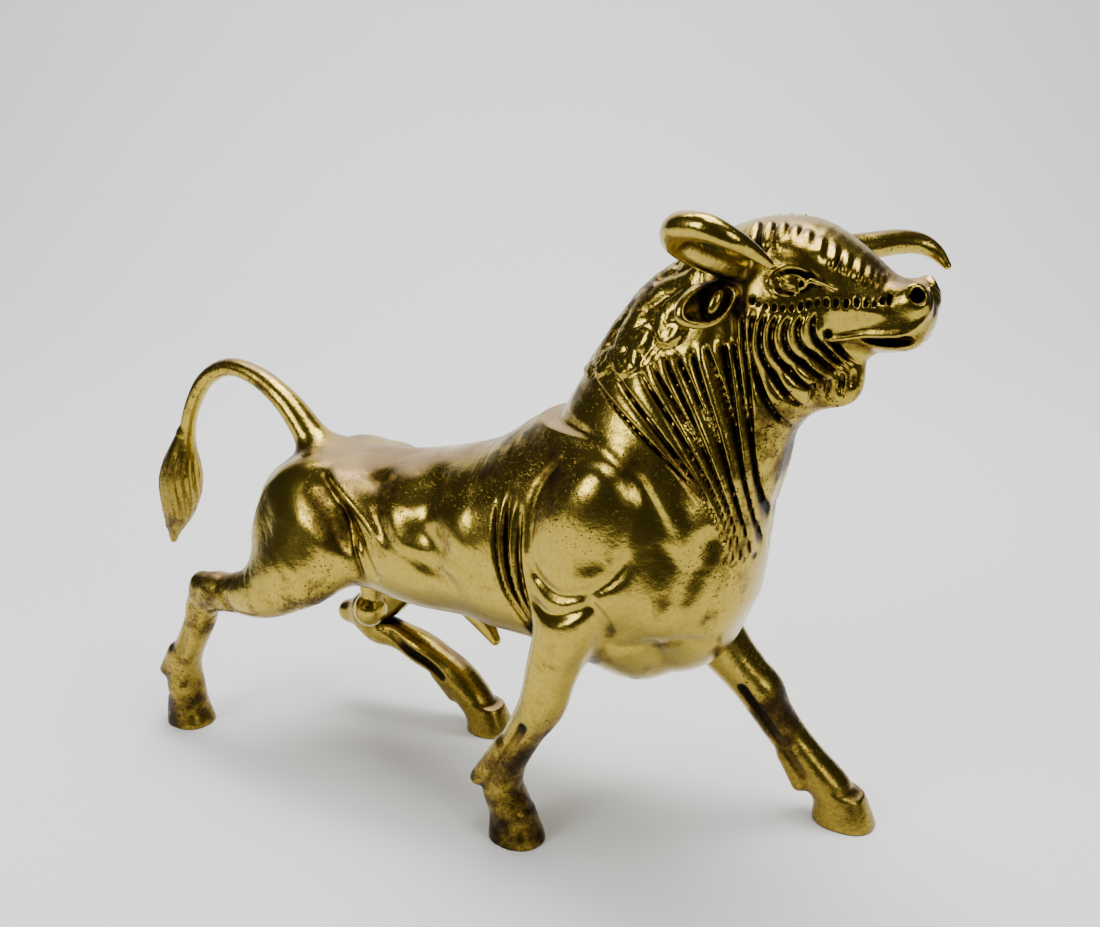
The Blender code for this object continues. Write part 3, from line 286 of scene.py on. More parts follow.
# Creases pressed into both flanks, seen from the side: depth, width, then x, z along the crease;
# a depth below nought is a ridge
CREASES = (
    # rib folds behind the shoulder, with sharp ridges between
    (2.6, 1.3, (36, 207), (37.5, 186), (41, 162), (49, 140), (57, 122)),
    (3.6, 1.9, (44, 211), (44.5, 186), (47, 162), (53, 140), (59, 122)),
    (3.4, 2.0, (53, 206), (52.5, 184), (53.5, 162), (57, 141), (60, 122)),
    (-1.2, 1.1, (40.5, 208), (41, 184), (44, 162), (51, 139)),
    (-1.2, 1.1, (48.5, 208), (48.5, 184), (50, 162), (55, 139)),
    # back rim and foot of the upper arm
    (2.0, 3.4, (80, 232), (65, 214), (60, 194), (60, 174)),
    (2.2, 3.6, (58, 188), (64, 168), (78, 161), (93, 164), (108, 173), (117, 192)),
    # top of the forearm and front of the elbow
    (2.0, 3.2, (55, 154), (72, 148.5), (86, 151.5), (101, 160)),
    (1.9, 3.4, (94, 165), (103, 149), (99, 127)),
    # between the upper arm and the point of the shoulder, under the mane, across the breast
    (2.2, 5.0, (114, 240), (119, 214), (116, 190), (110, 170)),
    (2.0, 4.5, (52, 242), (90, 238), (116, 222), (140, 190)),
    (1.6, 6.0, (134, 146), (146, 182), (153, 204)),
    (1.5, 4.0, (92, 129), (114, 131.5), (138, 138.5), (156, 130)),
    # costal arch, in two soft lines, and the slow waves of the flank
    (1.7, 6.5, (-40, 176), (0, 167), (20, 161), (46, 152)),
    (1.4, 5.5, (-54, 178), (-36, 165), (-24, 158), (-8, 153), (4, 149), (18, 136)),
    (2.2, 10.0, (-18, 214), (-14, 190), (-10, 166), (-2, 140)),
    (-1.8, 10.0, (-40, 204), (-36, 184), (-31, 166), (-24, 146)),
    (-1.8, 10.0, (10, 214), (10, 190), (14, 168), (20, 146)),
    (2.0, 8.0, (-60, 200), (-50, 186), (-44, 174), (-36, 158)),
    # edge of the flat back
    (1.5, 5.5, (-90, 187), (-40, 189), (0, 194), (42, 206)),
    # ridge below the hip bone and the hollow behind it
    (3.8, 5.0, (-98, 190), (-80, 180), (-66, 166), (-56, 150)),
    (-2.4, 2.6, (-90, 193), (-70, 183), (-52, 171), (-38, 158)),
    # front of the thigh and the skin fold before it
    (2.8, 3.0, (-76, 178), (-67, 160), (-61, 146), (-60, 130)),
    (1.8, 3.0, (-60, 166), (-52, 148), (-46, 132)),
)

# Grooves between the neck folds and jaw waves, seen from the side: top x, z, bottom x, z, bow,
# height where the groove fades out
FOLDS = (
    (84, 266, 154.4, 200, 12, 178),
    (97, 271, 157, 184, 14, 178),
    (111, 275, 159.5, 184, 10.5, 178),
    (116.5, 280, 152, 226, 3, 178),
    (123, 284, 162, 184, 6.5, 178),
    (129, 286, 155.5, 232, 2, 178),
    (136.5, 288, 164.5, 184, 4, 178),
    (142, 292, 160.9, 236, 1.5, 178),
    (149, 293, 167, 184, 2.5, 178),
    (155, 294, 165.5, 240, 0, 180),
    (160, 308, 170, 184, 0, 184),
    (166, 309, 179, 252, -7, 252),
    (171.5, 309, 186, 262, -8, 262),
    (177, 309, 191.5, 270, -8.5, 270),
    (182.5, 309, 196, 275, -8, 275),
    (187.5, 309.5, 200, 279, -7, 278),
    (192.5, 310, 203.5, 281, -5.5, 281),
    (197.5, 303, 206.5, 284, -4, 284),
)
FOLD_RISE = 1.9
FOLD_RISE_SHARE = 0.26
GROOVE_DEPTH = 3.0
GROOVE_DEPTH_SHARE = 0.6
GROOVE_WIDTH = 1.0
FOLD_WINDOW = ((72, -75, 170), (217, 75, 326))
# The deep hollow behind the jaw: x, z along it, depth and width
JAW_HOLLOW = ((152, 323), (152, 300), (153, 275), (157, 245), (161, 220))
JAW_HOLLOW_DEPTH = 4.5
JAW_HOLLOW_WIDTH = 5.5

# Mane: its axis goes on above the neck's; the map's mm are as long as the neck's spans are there
MANE_AXIS = ((166, 0, 341, 30, 34, 27), *NECK)
MANE_SPAN = 30.4
MANE_ROUND = 0.84
MANE_SWELL = 0.4
MANE_FRONT = 152.0
STRAND_DEPTH = 1.1
MANE_WINDOW = ((20, -75, 205), (172, 75, 362))
# Lower edge of the mane: mm round from the crest, mm down from the poll
MANE_EDGE = ((0, 80), (15, 77), (29, 73), (44, 64), (50, 55), (57, 47), (66, 38))
# Locks: points (mm down, mm round), width, curl radius and side, strands, rise
MANE_LOCKS = (
    (((-22, 6), (-12, 12), (-4, 10)), 12, 3.5, 5, 1.6),
    (((-18, 20), (-8, 28), (2, 27)), 13, -3.5, 5, 1.8),
    (((-20, 36), (-10, 42), (0, 40)), 12, 3.0, 5, 1.6),
    (((-8, 4), (2, 11), (10, 10)), 11, 3.5, 4, 1.6),
    (((4, 3), (13, 10), (21, 9)), 11, 3.5, 4, 1.6),
    (((15, 3), (24, 10), (32, 9)), 11, 3.5, 4, 1.6),
    (((27, 3), (36, 10), (44, 9)), 11, 3.5, 4, 1.6),
    (((39, 2), (48, 9), (56, 8)), 11, 3.5, 4, 1.6),
    (((52, 1), (61, 6), (70, 9)), 12, 4.0, 5, 1.6),
    (((-6, 42), (6, 37), (17, 28), (27, 26)), 15, -4.0, 6, 2.4),
    (((0, 52), (12, 46), (24, 43), (33, 50)), 15, 5.0, 6, 2.6),
    (((18, 22), (30, 22), (42, 30), (46, 38)), 15, 4.0, 6, 2.4),
    (((32, 31), (44, 27), (54, 33), (58, 41)), 14, 4.0, 6, 2.4),
    (((42, 14), (53, 12), (63, 19), (66, 26)), 14, 4.5, 6, 2.4),
    (((58, 6), (68, 8), (75, 14)), 12, 3.5, 5, 2.0),
)

# Head swellings, both sides alike
FACE = (
    # cheek, jaw corner, brow, cheek bone, nostril flare, lip
    ((172, 20, 305), (20, 12, 17), (1.0, 0.0, -0.2), 8),
    ((166, 19, 292), (15, 10, 11), (1.0, 0.0, 0.2), 8),
    ((182, 20, 335), (13, 8, 7), (1.0, 0.0, -0.25), 6),
    ((200, 15, 315), (22, 7, 6), (1.0, 0.0, -0.15), 6),
    ((231, 10, 316), (9, 7, 6.5), (1.0, 0.0, -0.4), 5),
    ((222, 8, 299), (14, 8, 6), (1.0, 0.0, -0.1), 6),
)
# Forehead locks, eyes and upper lip on the left side; the right side mirrors them
BROW_ROW = (
    (160, 20, 342),
    (174, 20, 343),
    (187, 20, 339.5),
    (200, 16.5, 333),
    (211, 12.5, 327),
    (217, 10, 323.5),
)
BROW_LOCKS = 12
BROW_LOCK = (10.0, 3.3, 3.1)
EYE_LINE = (1.0, -0.15, -0.12)
EYE_SOCKET = (181, 31.5, 323.5)
EYE_BALL = (181, 25.6, 323.3)
EAR = (146, 42, 312)
EAR_LINE = (-16, 18, -9)
NOSTRIL = (233.5, 12.3, 319)
NOSTRIL_LINE = (0.56, 0.82, 0.1)
LIP_LINE = (
    (198, 18, 297),
    (205, 17.5, 298.5),
    (214, 16.8, 300.5),
    (227, 16.5, 301.8),
    (234, 14, 305),
    (238, 11.5, 310),
    (239, 6.5, 317),
    (237, 3, 321),
)


# Curves and shapes
def through(rows, count):
    """Smooth rows through the landmark rows, every column eased alike."""
    rows = np.asarray(rows, float)
    padded = np.vstack((2 * rows[0] - rows[1], rows, 2 * rows[-1] - rows[-2]))
    spans = len(rows) - 1
    out = []
    for step in range(count + 1):
        place = step / count * spans
        first = min(int(place), spans - 1)
        t = place - first
        p0, p1, p2, p3 = padded[first : first + 4]
        curve = 2 * p1 + (p2 - p0) * t
        curve += (2 * p0 - 5 * p1 + 4 * p2 - p3) * t**2
        curve += (3 * p1 - p0 - 3 * p2 + p3) * t**3
        out.append(curve / 2)
    return np.array(out)


def radial(parts, radii, power=2.0):
    """Signed distance, near enough, to a rounded body with the given reach along each part."""
    total = sum(np.abs(part / reach) ** power for part, reach in zip(parts, radii))
    ratio = total ** (1.0 / power)
    length = np.sqrt(sum(part * part for part in parts))
    core = -np.min([np.min(reach) for reach in radii])
    return np.where(ratio < 0.02, core, length - length / np.maximum(ratio, 0.02))


class Tube:
    """A limb along a curve, with its own reach to the front, the back and the sides."""

    def __init__(self, rows, ends=None, power=2.0, smooth=4):
        rows = np.asarray(rows, float)
        if rows.shape[1] == 4:
            rows = np.column_stack((rows, rows[:, 3], rows[:, 3]))
        fine = through(rows, smooth * (len(rows) - 1))
        self.axis = fine[:, :3]
        self.reach = np.maximum(fine[:, 3:], 0.8)
        self.ends = ends
        self.power = power
        ahead = np.gradient(self.axis, axis=0)
        ahead /= np.linalg.norm(ahead, axis=1)[:, None]
        side = np.array((0.0, 1.0, 0.0)) - ahead * ahead[:, 1:2]
        side /= np.maximum(np.linalg.norm(side, axis=1)[:, None], 1e-6)
        self.ahead = ahead
        self.side = side
        self.front = np.cross(ahead, side)
        widest = self.reach.max()
        self.low = self.axis.min(axis=0) - widest
        self.high = self.axis.max(axis=0) + widest

    def chart(self, x, y, z):
        """Where each point lies along the axis, and its offsets from it."""
        best = np.full(np.broadcast(x, y, z).shape, 1e12, np.float32)
        place = np.zeros_like(best)
        for index in range(len(self.axis) - 1):
            a = self.axis[index]
            b = self.axis[index + 1]
            ab = b - a
            t = ((x - a[0]) * ab[0] + (y - a[1]) * ab[1] + (z - a[2]) * ab[2]) / (ab @ ab)
            t = np.clip(t, 0.0, 1.0)
            gap = (x - a[0] - t * ab[0]) ** 2 + (y - a[1] - t * ab[1]) ** 2
            gap = gap + (z - a[2] - t * ab[2]) ** 2
            nearer = gap < best
            best = np.where(nearer, gap, best)
            place = np.where(nearer, index + t, place)
        knots = np.arange(len(self.axis))

        def at(values):
            return np.interp(place, knots, values)

        away = [value - at(self.axis[:, k]) for k, value in enumerate((x, y, z))]
        across = sum(away[k] * at(self.side[:, k]) for k in range(3))
        forward = sum(away[k] * at(self.front[:, k]) for k in range(3))
        along = sum(away[k] * at(self.ahead[:, k]) for k in range(3))
        return place / knots[-1], across, forward, along, at

    def distance(self, x, y, z):
        _, across, forward, along, at = self.chart(x, y, z)
        front = at(self.reach[:, 0])
        back = at(self.reach[:, 1])
        side = at(self.reach[:, 2])
        depth = np.where(forward > 0, front, back)
        end = side if self.ends is None else np.where(along < 0, self.ends[0], self.ends[1])
        return radial((across, forward, along), (side, depth, end), self.power)


class Muscle:
    """An egg-shaped swelling: reach along its direction, across and up."""

    def __init__(self, centre, radii, direction, power=2.0):
        self.centre = np.asarray(centre, float)
        along = np.asarray(direction, float)
        along /= np.linalg.norm(along)
        across = np.array((0.0, 1.0, 0.0)) - along * along[1]
        across /= np.linalg.norm(across)
        self.frame = (along, across, np.cross(along, across))
        self.radii = radii
        self.power = power
        self.low = self.centre - max(radii)
        self.high = self.centre + max(radii)

    def distance(self, x, y, z):
        away = (x - self.centre[0], y - self.centre[1], z - self.centre[2])
        parts = [sum(away[k] * unit[k] for k in range(3)) for unit in self.frame]
        return radial(parts, self.radii, self.power)


class Mirrored:
    """The same shape on the other side of the body."""

    def __init__(self, shape):
        self.shape = shape
        self.low = shape.low * (1, -1, 1)
        self.high = shape.high * (1, -1, 1)
        self.low[1], self.high[1] = self.high[1], self.low[1]

    def distance(self, x, y, z):
        return self.shape.distance(x, -y, z)


class Hoof:
    """A bell that flares to the ground, longer at the toe than at the heel."""

    def __init__(self, x, y, heading, toe, heel, half, crown):
        self.centre = np.array((x, y, 0.0))
        self.turn = math.radians(heading)
        self.sizes = (toe, heel, half, crown)
        self.low = np.array((x - toe - 4, y - toe - 4, -9.0))
        self.high = np.array((x + toe + 4, y + toe + 4, crown + 6.0))

    def distance(self, x, y, z):
        toe, heel, half, crown = self.sizes
        c = math.cos(self.turn)
        s = math.sin(self.turn)
        up = np.clip(z / crown, -0.3, 1.2)
        forward = (x - self.centre[0]) * c + (y - self.centre[1]) * s + HOOF_LEAN * up
        across = (y - self.centre[1]) * c - (x - self.centre[0]) * s
        narrow = 1.0 - 0.26 * np.clip(up, 0.0, 1.2) ** 1.3
        reach = np.where(forward > 0, toe, heel) * narrow
        wall = radial((forward, across), (reach, half * narrow), 2.3)
        return np.maximum(np.maximum(wall, z - crown), -5.0 - z)


# Clay
class Clay:
    """A block of clay held as signed distances on a regular grid."""

    def __init__(self, low, high, cell):
        self.low = np.asarray(low, float)
        self.cell = cell
        counts = np.ceil((np.asarray(high) - self.low) / cell).astype(int) + 1
        self.axes = [self.low[k] + cell * np.arange(counts[k]) for k in range(3)]
        self.field = np.full(counts, FAR, np.float32)

    def block(self, low, high, margin):
        """The part of the grid round a box, with its coordinates."""
        window = []
        for k in range(3):
            start = np.searchsorted(self.axes[k], low[k] - margin)
            stop = np.searchsorted(self.axes[k], high[k] + margin)
            window.append(slice(start, stop))
        x = self.axes[0][window[0]].astype(np.float32)[:, None, None]
        y = self.axes[1][window[1]].astype(np.float32)[None, :, None]
        z = self.axes[2][window[2]].astype(np.float32)[None, None, :]
        return tuple(window), x, y, z

    def add(self, shape, blend, sign=1):
        """Melt a shape into the clay, or out of it where the sign is -1."""
        window, x, y, z = self.block(shape.low, shape.high, blend + 2 * self.cell)
        if self.field[window].size == 0:
            return
        new = shape.distance(x, y, z)
        old = sign * self.field[window]
        near = np.maximum(blend - np.abs(old - new), 0.0) / blend
        self.field[window] = sign * (np.minimum(old, new) - near * near * blend / 4)

    def cut(self, shape, blend):
        self.add(shape, blend, -1)

    def add_pair(self, shape, blend):
        self.add(shape, blend)
        self.add(Mirrored(shape), blend)

    def cut_pair(self, shape, blend):
        self.cut(shape, blend)
        self.cut(Mirrored(shape), blend)

    def crease(self, depth, width, points):
        """Press a line into both flanks; it is drawn from the side."""
        fine = through(points, 6 * (len(points) - 1))
        low = (fine[:, 0].min(), self.low[1], fine[:, 1].min())
        high = (fine[:, 0].max(), self.axes[1][-1], fine[:, 1].max())
        window, x, y, z = self.block(low, high, 3 * width)
        share, across = beside(x[:, 0, :], z[:, 0, :], fine)
        fade = smooth_step(share, 0.0, 0.25) * smooth_step(1.0 - share, 0.0, 0.25)
        press = depth * np.exp(-((across / width) ** 2)) * fade
        flank = smooth_step(np.abs(y), 14.0, 14.0)
        self.field[window] += press[:, None, :] * flank


def part_of(array, corner):
    """The array seen from one corner of every grid cell."""
    return array[tuple(slice(c, n - 1 + c) for c, n in zip(corner, array.shape))]


def settle(field):
    """Fill the pinch points where a cell's surface would touch itself."""
    inside = field < 0
    for _ in range(12):
        filled = 0
        for axis in range(3):
            u, v = [k for k in range(3) if k != axis]
            ring = []
            for du, dv in ((0, 0), (1, 0), (0, 1), (1, 1)):
                window = [slice(None)] * 3
                window[u] = slice(du, inside.shape[u] - 1 + du)
                window[v] = slice(dv, inside.shape[v] - 1 + dv)
                ring.append(inside[tuple(window)])
            a, b, c, d = ring
            pinch_b = a & d & ~b & ~c
            pinch_a = ~a & ~d & b & c
            filled += int(pinch_a.sum() + pinch_b.sum())
            b |= pinch_b
            a |= pinch_a
        for i, j in ((0, 0), (0, 1), (1, 0), (1, 1)):
            near = part_of(inside, (0, i, j))
            far = part_of(inside, (1, 1 - i, 1 - j))
            corners = [(p, q, r) for p in (0, 1) for q in (0, 1) for r in (0, 1)]
            count = sum(part_of(inside, corner).astype(np.int8) for corner in corners)
            hollow = ~near & ~far & (count == 6)
            lone = near & far & (count == 2)
            filled += int(hollow.sum() + lone.sum())
            near |= hollow
            near &= ~lone
        if not filled:
            break
    field[inside & (field >= 0)] = -0.02
    field[~inside & (field < 0)] = 0.02


def skin(clay):
    """Vertices and quads of the surface where the field is zero, one vertex to a mixed cell."""
    field = clay.field
    settle(field)
    inside = field < 0
    shape = np.array(field.shape)
    corners = [(i, j, k) for i in (0, 1) for j in (0, 1) for k in (0, 1)]
    hits = sum(part_of(inside, corner).astype(np.int8) for corner in corners)
    mixed = (hits > 0) & (hits < 8)
    cells = np.argwhere(mixed)
    number = np.full(mixed.shape, -1, np.int64)
    number[mixed] = np.arange(len(cells))

    total = np.zeros((len(cells), 3))
    count = np.zeros(len(cells))
    for a in corners:
        for axis in range(3):
            if a[axis]:
                continue
            b = tuple(1 if k == axis else a[k] for k in range(3))
            fa = field[tuple((cells + a).T)].astype(float)
            fb = field[tuple((cells + b).T)].astype(float)
            cross = (fa < 0) != (fb < 0)
            t = np.where(cross, fa / np.where(cross, fa - fb, 1.0), 0.0)
            point = np.tile(np.array(a, float), (len(cells), 1))
            point[:, axis] = t
            total += np.where(cross[:, None], point, 0.0)
            count += cross
    vertices = clay.low + clay.cell * (cells + total / count[:, None])

    quads = []
    for axis in range(3):
        u = (axis + 1) % 3
        v = (axis + 2) % 3
        first = inside.take(range(shape[axis] - 1), axis)
        second = inside.take(range(1, shape[axis]), axis)
        for flip, edge in ((False, first & ~second), (True, ~first & second)):
            places = np.argwhere(edge)
            keep = (places[:, u] > 0) & (places[:, v] > 0)
            keep &= (places[:, u] < shape[u] - 1) & (places[:, v] < shape[v] - 1)
            places = places[keep]
            ring = []
            for du, dv in ((-1, -1), (0, -1), (0, 0), (-1, 0)):
                cell = places.copy()
                cell[:, u] += du
                cell[:, v] += dv
                ring.append(number[tuple(cell.T)])
            quad = np.stack(ring, axis=1)
            quads.append(quad[:, ::-1] if flip else quad)
    return vertices, np.vstack(quads)


# Carving, drawn on flat maps
class Chart:
    """A flat map of heights over two measures, read back smoothly at any point."""

    def __init__(self, low, high, step):
        self.low = low
        self.step = step
        counts = [int(math.ceil((high[k] - low[k]) / step)) + 1 for k in (0, 1)]
        self.u = (low[0] + step * np.arange(counts[0]))[:, None]
        self.v = (low[1] + step * np.arange(counts[1]))[None, :]
        self.height = np.zeros(counts)

    def near(self, points, reach):
        """The part of the map round a line, with its coordinates."""
        window = []
        for k, axis in enumerate((self.u[:, 0], self.v[0])):
            start = np.searchsorted(axis, points[:, k].min() - reach)
            stop = np.searchsorted(axis, points[:, k].max() + reach)
            window.append(slice(start, stop))
        return tuple(window), self.u[window[0]], self.v[:, window[1]]

    def height_at(self, u, v):
        places = []
        for value, low, size in ((u, self.low[0], len(self.u)), (v, self.low[1], self.v.shape[1])):
            places.append(np.clip((value - low) / self.step, 0.0, size - 1.001))
        i = places[0].astype(np.int32)
        j = places[1].astype(np.int32)
        s = places[0] - i
        t = places[1] - j
        flat = self.height.ravel()
        first = i * self.height.shape[1] + j
        below = flat[first] * (1 - t) + flat[first + 1] * t
        first += self.height.shape[1]
        return below * (1 - s) + (flat[first] * (1 - t) + flat[first + 1] * t) * s


def beside(u, v, line):
    """Share of the way along a line, and signed distance from it, for every point of a map."""
    best = np.full(np.broadcast(u, v).shape, 1e9)
    share = np.zeros_like(best)
    across = np.zeros_like(best)
    steps = len(line) - 1
    for index in range(steps):
        a = line[index]
        along = line[index + 1] - a
        length = along @ along
        t = np.clip(((u - a[0]) * along[0] + (v - a[1]) * along[1]) / length, 0.0, 1.0)
        gap_u = u - a[0] - t * along[0]
        gap_v = v - a[1] - t * along[1]
        gap = np.hypot(gap_u, gap_v)
        nearer = gap < best
        best = np.where(nearer, gap, best)
        share = np.where(nearer, (index + t) / steps, share)
        side = along[0] * gap_v - along[1] * gap_u
        across = np.where(nearer, np.where(side < 0, -gap, gap), across)
    return share, across


def smooth_step(value, start, width):
    """Nought before start, one from start + width on, and smooth between."""
    t = np.clip((value - start) / width, 0.0, 1.0)
    return t * t * (3 - 2 * t)


def fold_lines(z):
    """Where each groove of the neck and jaw lies at one height, in order, with its strength there."""
    lines = []
    strengths = []
    for top_x, top_z, low_x, low_z, bow, end_z in FOLDS:
        t = (top_z - z) / (top_z - low_z)
        lines.append(top_x + (low_x - top_x) * t + 4 * bow * t * (1 - t) * (0.0 < t < 1.0))
        strengths.append(float(smooth_step(top_z - z, -1.0, 5.0) * smooth_step(z - end_z, -4.0, 9.0)))
    lines = np.minimum.accumulate(lines[::-1])[::-1]
    return lines + 0.02 * np.arange(len(lines)), np.array(strengths)


def fold_chart():
    """Neck folds and jaw waves, seen from the side: rounded folds with narrow grooves between."""
    low, high = FOLD_WINDOW
    chart = Chart((low[0], low[2]), (high[0], high[2]), 0.5)
    index = np.arange(len(FOLDS))
    x = chart.u[:, 0]
    for column, z in enumerate(chart.v[0]):
        lines, strengths = fold_lines(z)
        phase = np.interp(x, lines, index)
        widths = np.diff(lines)
        spacing = widths[np.minimum(phase.astype(int), len(widths) - 1)]
        place = phase - np.floor(phase)
        dome = np.minimum(FOLD_RISE, FOLD_RISE_SHARE * spacing) * np.sin(np.pi * place) ** 0.8
        room = np.maximum(np.append(widths, 0.0), np.append(0.0, widths))
        groove = np.minimum(GROOVE_DEPTH, GROOVE_DEPTH_SHARE * np.interp(phase, index, room))
        gap = np.minimum(place, 1 - place) * spacing
        groove = groove * np.exp(-((gap / GROOVE_WIDTH) ** 2))
        share = np.interp(phase, index, strengths)
        inside = smooth_step(x, lines[0] - 2.5, 2.5) * smooth_step(-x, -lines[-1] - 2.5, 2.5)
        chart.height[:, column] = (dome - groove) * share * inside
    share, across = beside(chart.u, chart.v, np.array(JAW_HOLLOW, float))
    fade = smooth_step(share, 0.0, 0.15) * smooth_step(1.0 - share, 0.0, 0.5)
    chart.height -= JAW_HOLLOW_DEPTH * np.exp(-((across / JAW_HOLLOW_WIDTH) ** 2)) * fade
    return chart


def lock(chart, rows, width, curl, strands, rise):
    """One lock of hair: it tapers, its strands run along it, and its end rolls into a curl."""
    line = through(rows, 8 * (len(rows) - 1))
    if curl:
        ahead = line[-1] - line[-2]
        ahead /= np.linalg.norm(ahead)
        beside_end = np.array((-ahead[1], ahead[0])) * math.copysign(1.0, curl)
        centre = line[-1] + beside_end * abs(curl)
        turns = np.radians(np.arange(20, 380, 20))
        reach = abs(curl) * (1 - 0.6 * turns / turns[-1])
        spiral = centre + reach[:, None] * (
            np.outer(np.sin(turns), ahead) - np.outer(np.cos(turns), beside_end)
        )
        line = np.vstack((line, spiral))
    window, u, v = chart.near(line, width)
    share, across = beside(u, v, line)
    half = width / 2 * (0.55 + 0.45 * np.sin(np.pi * (0.18 + 0.62 * share))) * (1 - 0.55 * share)
    place = across / half
    body = np.sqrt(np.clip(1 - place * place, 0.0, 1.0))
    strand = np.abs(np.sin(np.pi * (strands / 2 * place + 0.5)))
    root = smooth_step(share, 0.0, 0.12)
    height = rise * (0.35 + 0.65 * body) * root + STRAND_DEPTH * (strand**0.8 - 1)
    height = np.where(np.abs(place) < 1, height, -9.0)
    chart.height[window] = np.maximum(chart.height[window], height)


def mane_chart():
    """The mane on a map of the neck: mm down from the poll, and mm round from the crest."""
    chart = Chart((-32.0, -75.0), (95.0, 75.0), 0.4)
    down, round_neck = chart.u, np.abs(chart.v)
    wave = round_neck + 0.45 * down + 2.2 * np.sin(down / 5.0) + 1.5 * np.sin(round_neck / 6.0)
    chart.height += 0.9 * np.abs(np.sin(np.pi * wave / 3.0)) - 0.9
    for rows, width, curl, strands, rise in MANE_LOCKS:
        for side in (1, -1):
            turned = [(s, c * side) for s, c in rows]
            lock(chart, turned, width, curl * side, strands, rise)
    edge = np.interp(round_neck, [row[0] for row in MANE_EDGE], [row[1] for row in MANE_EDGE])
    cover = smooth_step(edge - down, -1.5, 3.0) * smooth_step(66.0 - round_neck, 0.0, 5.0)
    return chart, cover


def model_folds(clay):
    window, x, y, z = clay.block(*FOLD_WINDOW, 0.0)
    side = smooth_step(np.abs(y), 1.0, 7.0)
    clay.field[window] -= fold_chart().height_at(*np.broadcast_arrays(x, z)) * side

    chart, cover = mane_chart()
    window, x, y, z = clay.block(*MANE_WINDOW, 0.0)
    place, across, forward, _, _ = Tube(MANE_AXIS).chart(x, y, z)
    down = (place * (len(MANE_AXIS) - 1) - 1) * MANE_SPAN
    round_neck = np.degrees(np.arctan2(across, -forward)) * MANE_ROUND
    relief = chart.height_at(down, round_neck)
    chart.height = cover
    share = chart.height_at(down, round_neck)
    share = share * smooth_step(MANE_FRONT - x, 0.0, 6.0)
    clay.field[window] -= (relief + MANE_SWELL) * share
    for depth, width, *points in CREASES:
        clay.crease(depth, width, points)


# The bull
def model_body(clay):
    clay.add(Tube(TRUNK, ends=TRUNK_ENDS, power=2.25), 1.0)
    clay.add(Tube(NECK, ends=(20.0, 20.0), power=2.1), 30.0)
    for sides, centre, radii, direction, blend in MUSCLES:
        for side in sides:
            placed = (centre[0], centre[1] * side, centre[2])
            clay.add(Muscle(placed, radii, direction), blend)
    for centre, radii, direction, power, blend in MIDDLE_FORMS:
        clay.add(Muscle(centre, radii, direction, power), blend)


def model_legs(clay):
    for rows, blend in ((RIGHT_FORE, 9.0), (LEFT_FORE, 9.0), (RIGHT_HIND, 12.0), (LEFT_HIND, 12.0)):
        clay.add(Tube(rows), blend)
    for centre, radii, direction, blend in LEG_FORMS:
        clay.add(Muscle(centre, radii, direction), blend)
    for root_x, root_z, root, tip_x, tip_z, tip, y in HEELS:
        for side in (-HEEL_SPREAD, HEEL_SPREAD):
            rows = ((root_x, y + 0.7 * side, root_z, root), (tip_x, y + side, tip_z, tip))
            clay.add(Tube(rows, smooth=2), 3.5)
    for sizes in HOOVES:
        clay.add(Hoof(*sizes), 4.0)
    for rows in LEG_GROOVES:
        clay.cut(Tube(rows), LEG_GROOVE_BLEND)


def model_rear(clay):
    clay.add(Tube(TAIL), 10.0)
    clay.add(Tube(TUFT), 4.0)
    *pouch, belly = [(Muscle(*form), blend) for *form, blend in UNDER_FORMS]
    for shape, blend in (*pouch, (Tube(SHEATH), 6.0), belly):
        clay.add(shape, blend)


def hoop(centre, facing, reach, radius):
    """A ring of round section, lying square to the way it faces."""
    frame = Muscle(centre, (1, 1, 1), facing).frame
    rows = []
    for angle in np.radians(np.arange(0, 361, 24)):
        x, y, z = centre + reach * (math.cos(angle) * frame[1] + math.sin(angle) * frame[2])
        rows.append((x, y, z, radius))
    return Tube(rows, smooth=2)


def model_skull(clay):
    clay.add(Tube(HEAD, ends=HEAD_ENDS, power=2.2), 10.0)
    for centre, radii, direction, blend in FACE:
        clay.add_pair(Muscle(centre, radii, direction), blend)
    # lower jaw, and the skin between it and the dewlap
    clay.add(Muscle((220, 0, 297), (13, 10, 7), (1.0, 0.0, 0.1)), 4.0)
    clay.add(Muscle((205, 0, 291), (10, 8, 6), (1.0, 0.0, 0.0)), 5.0)


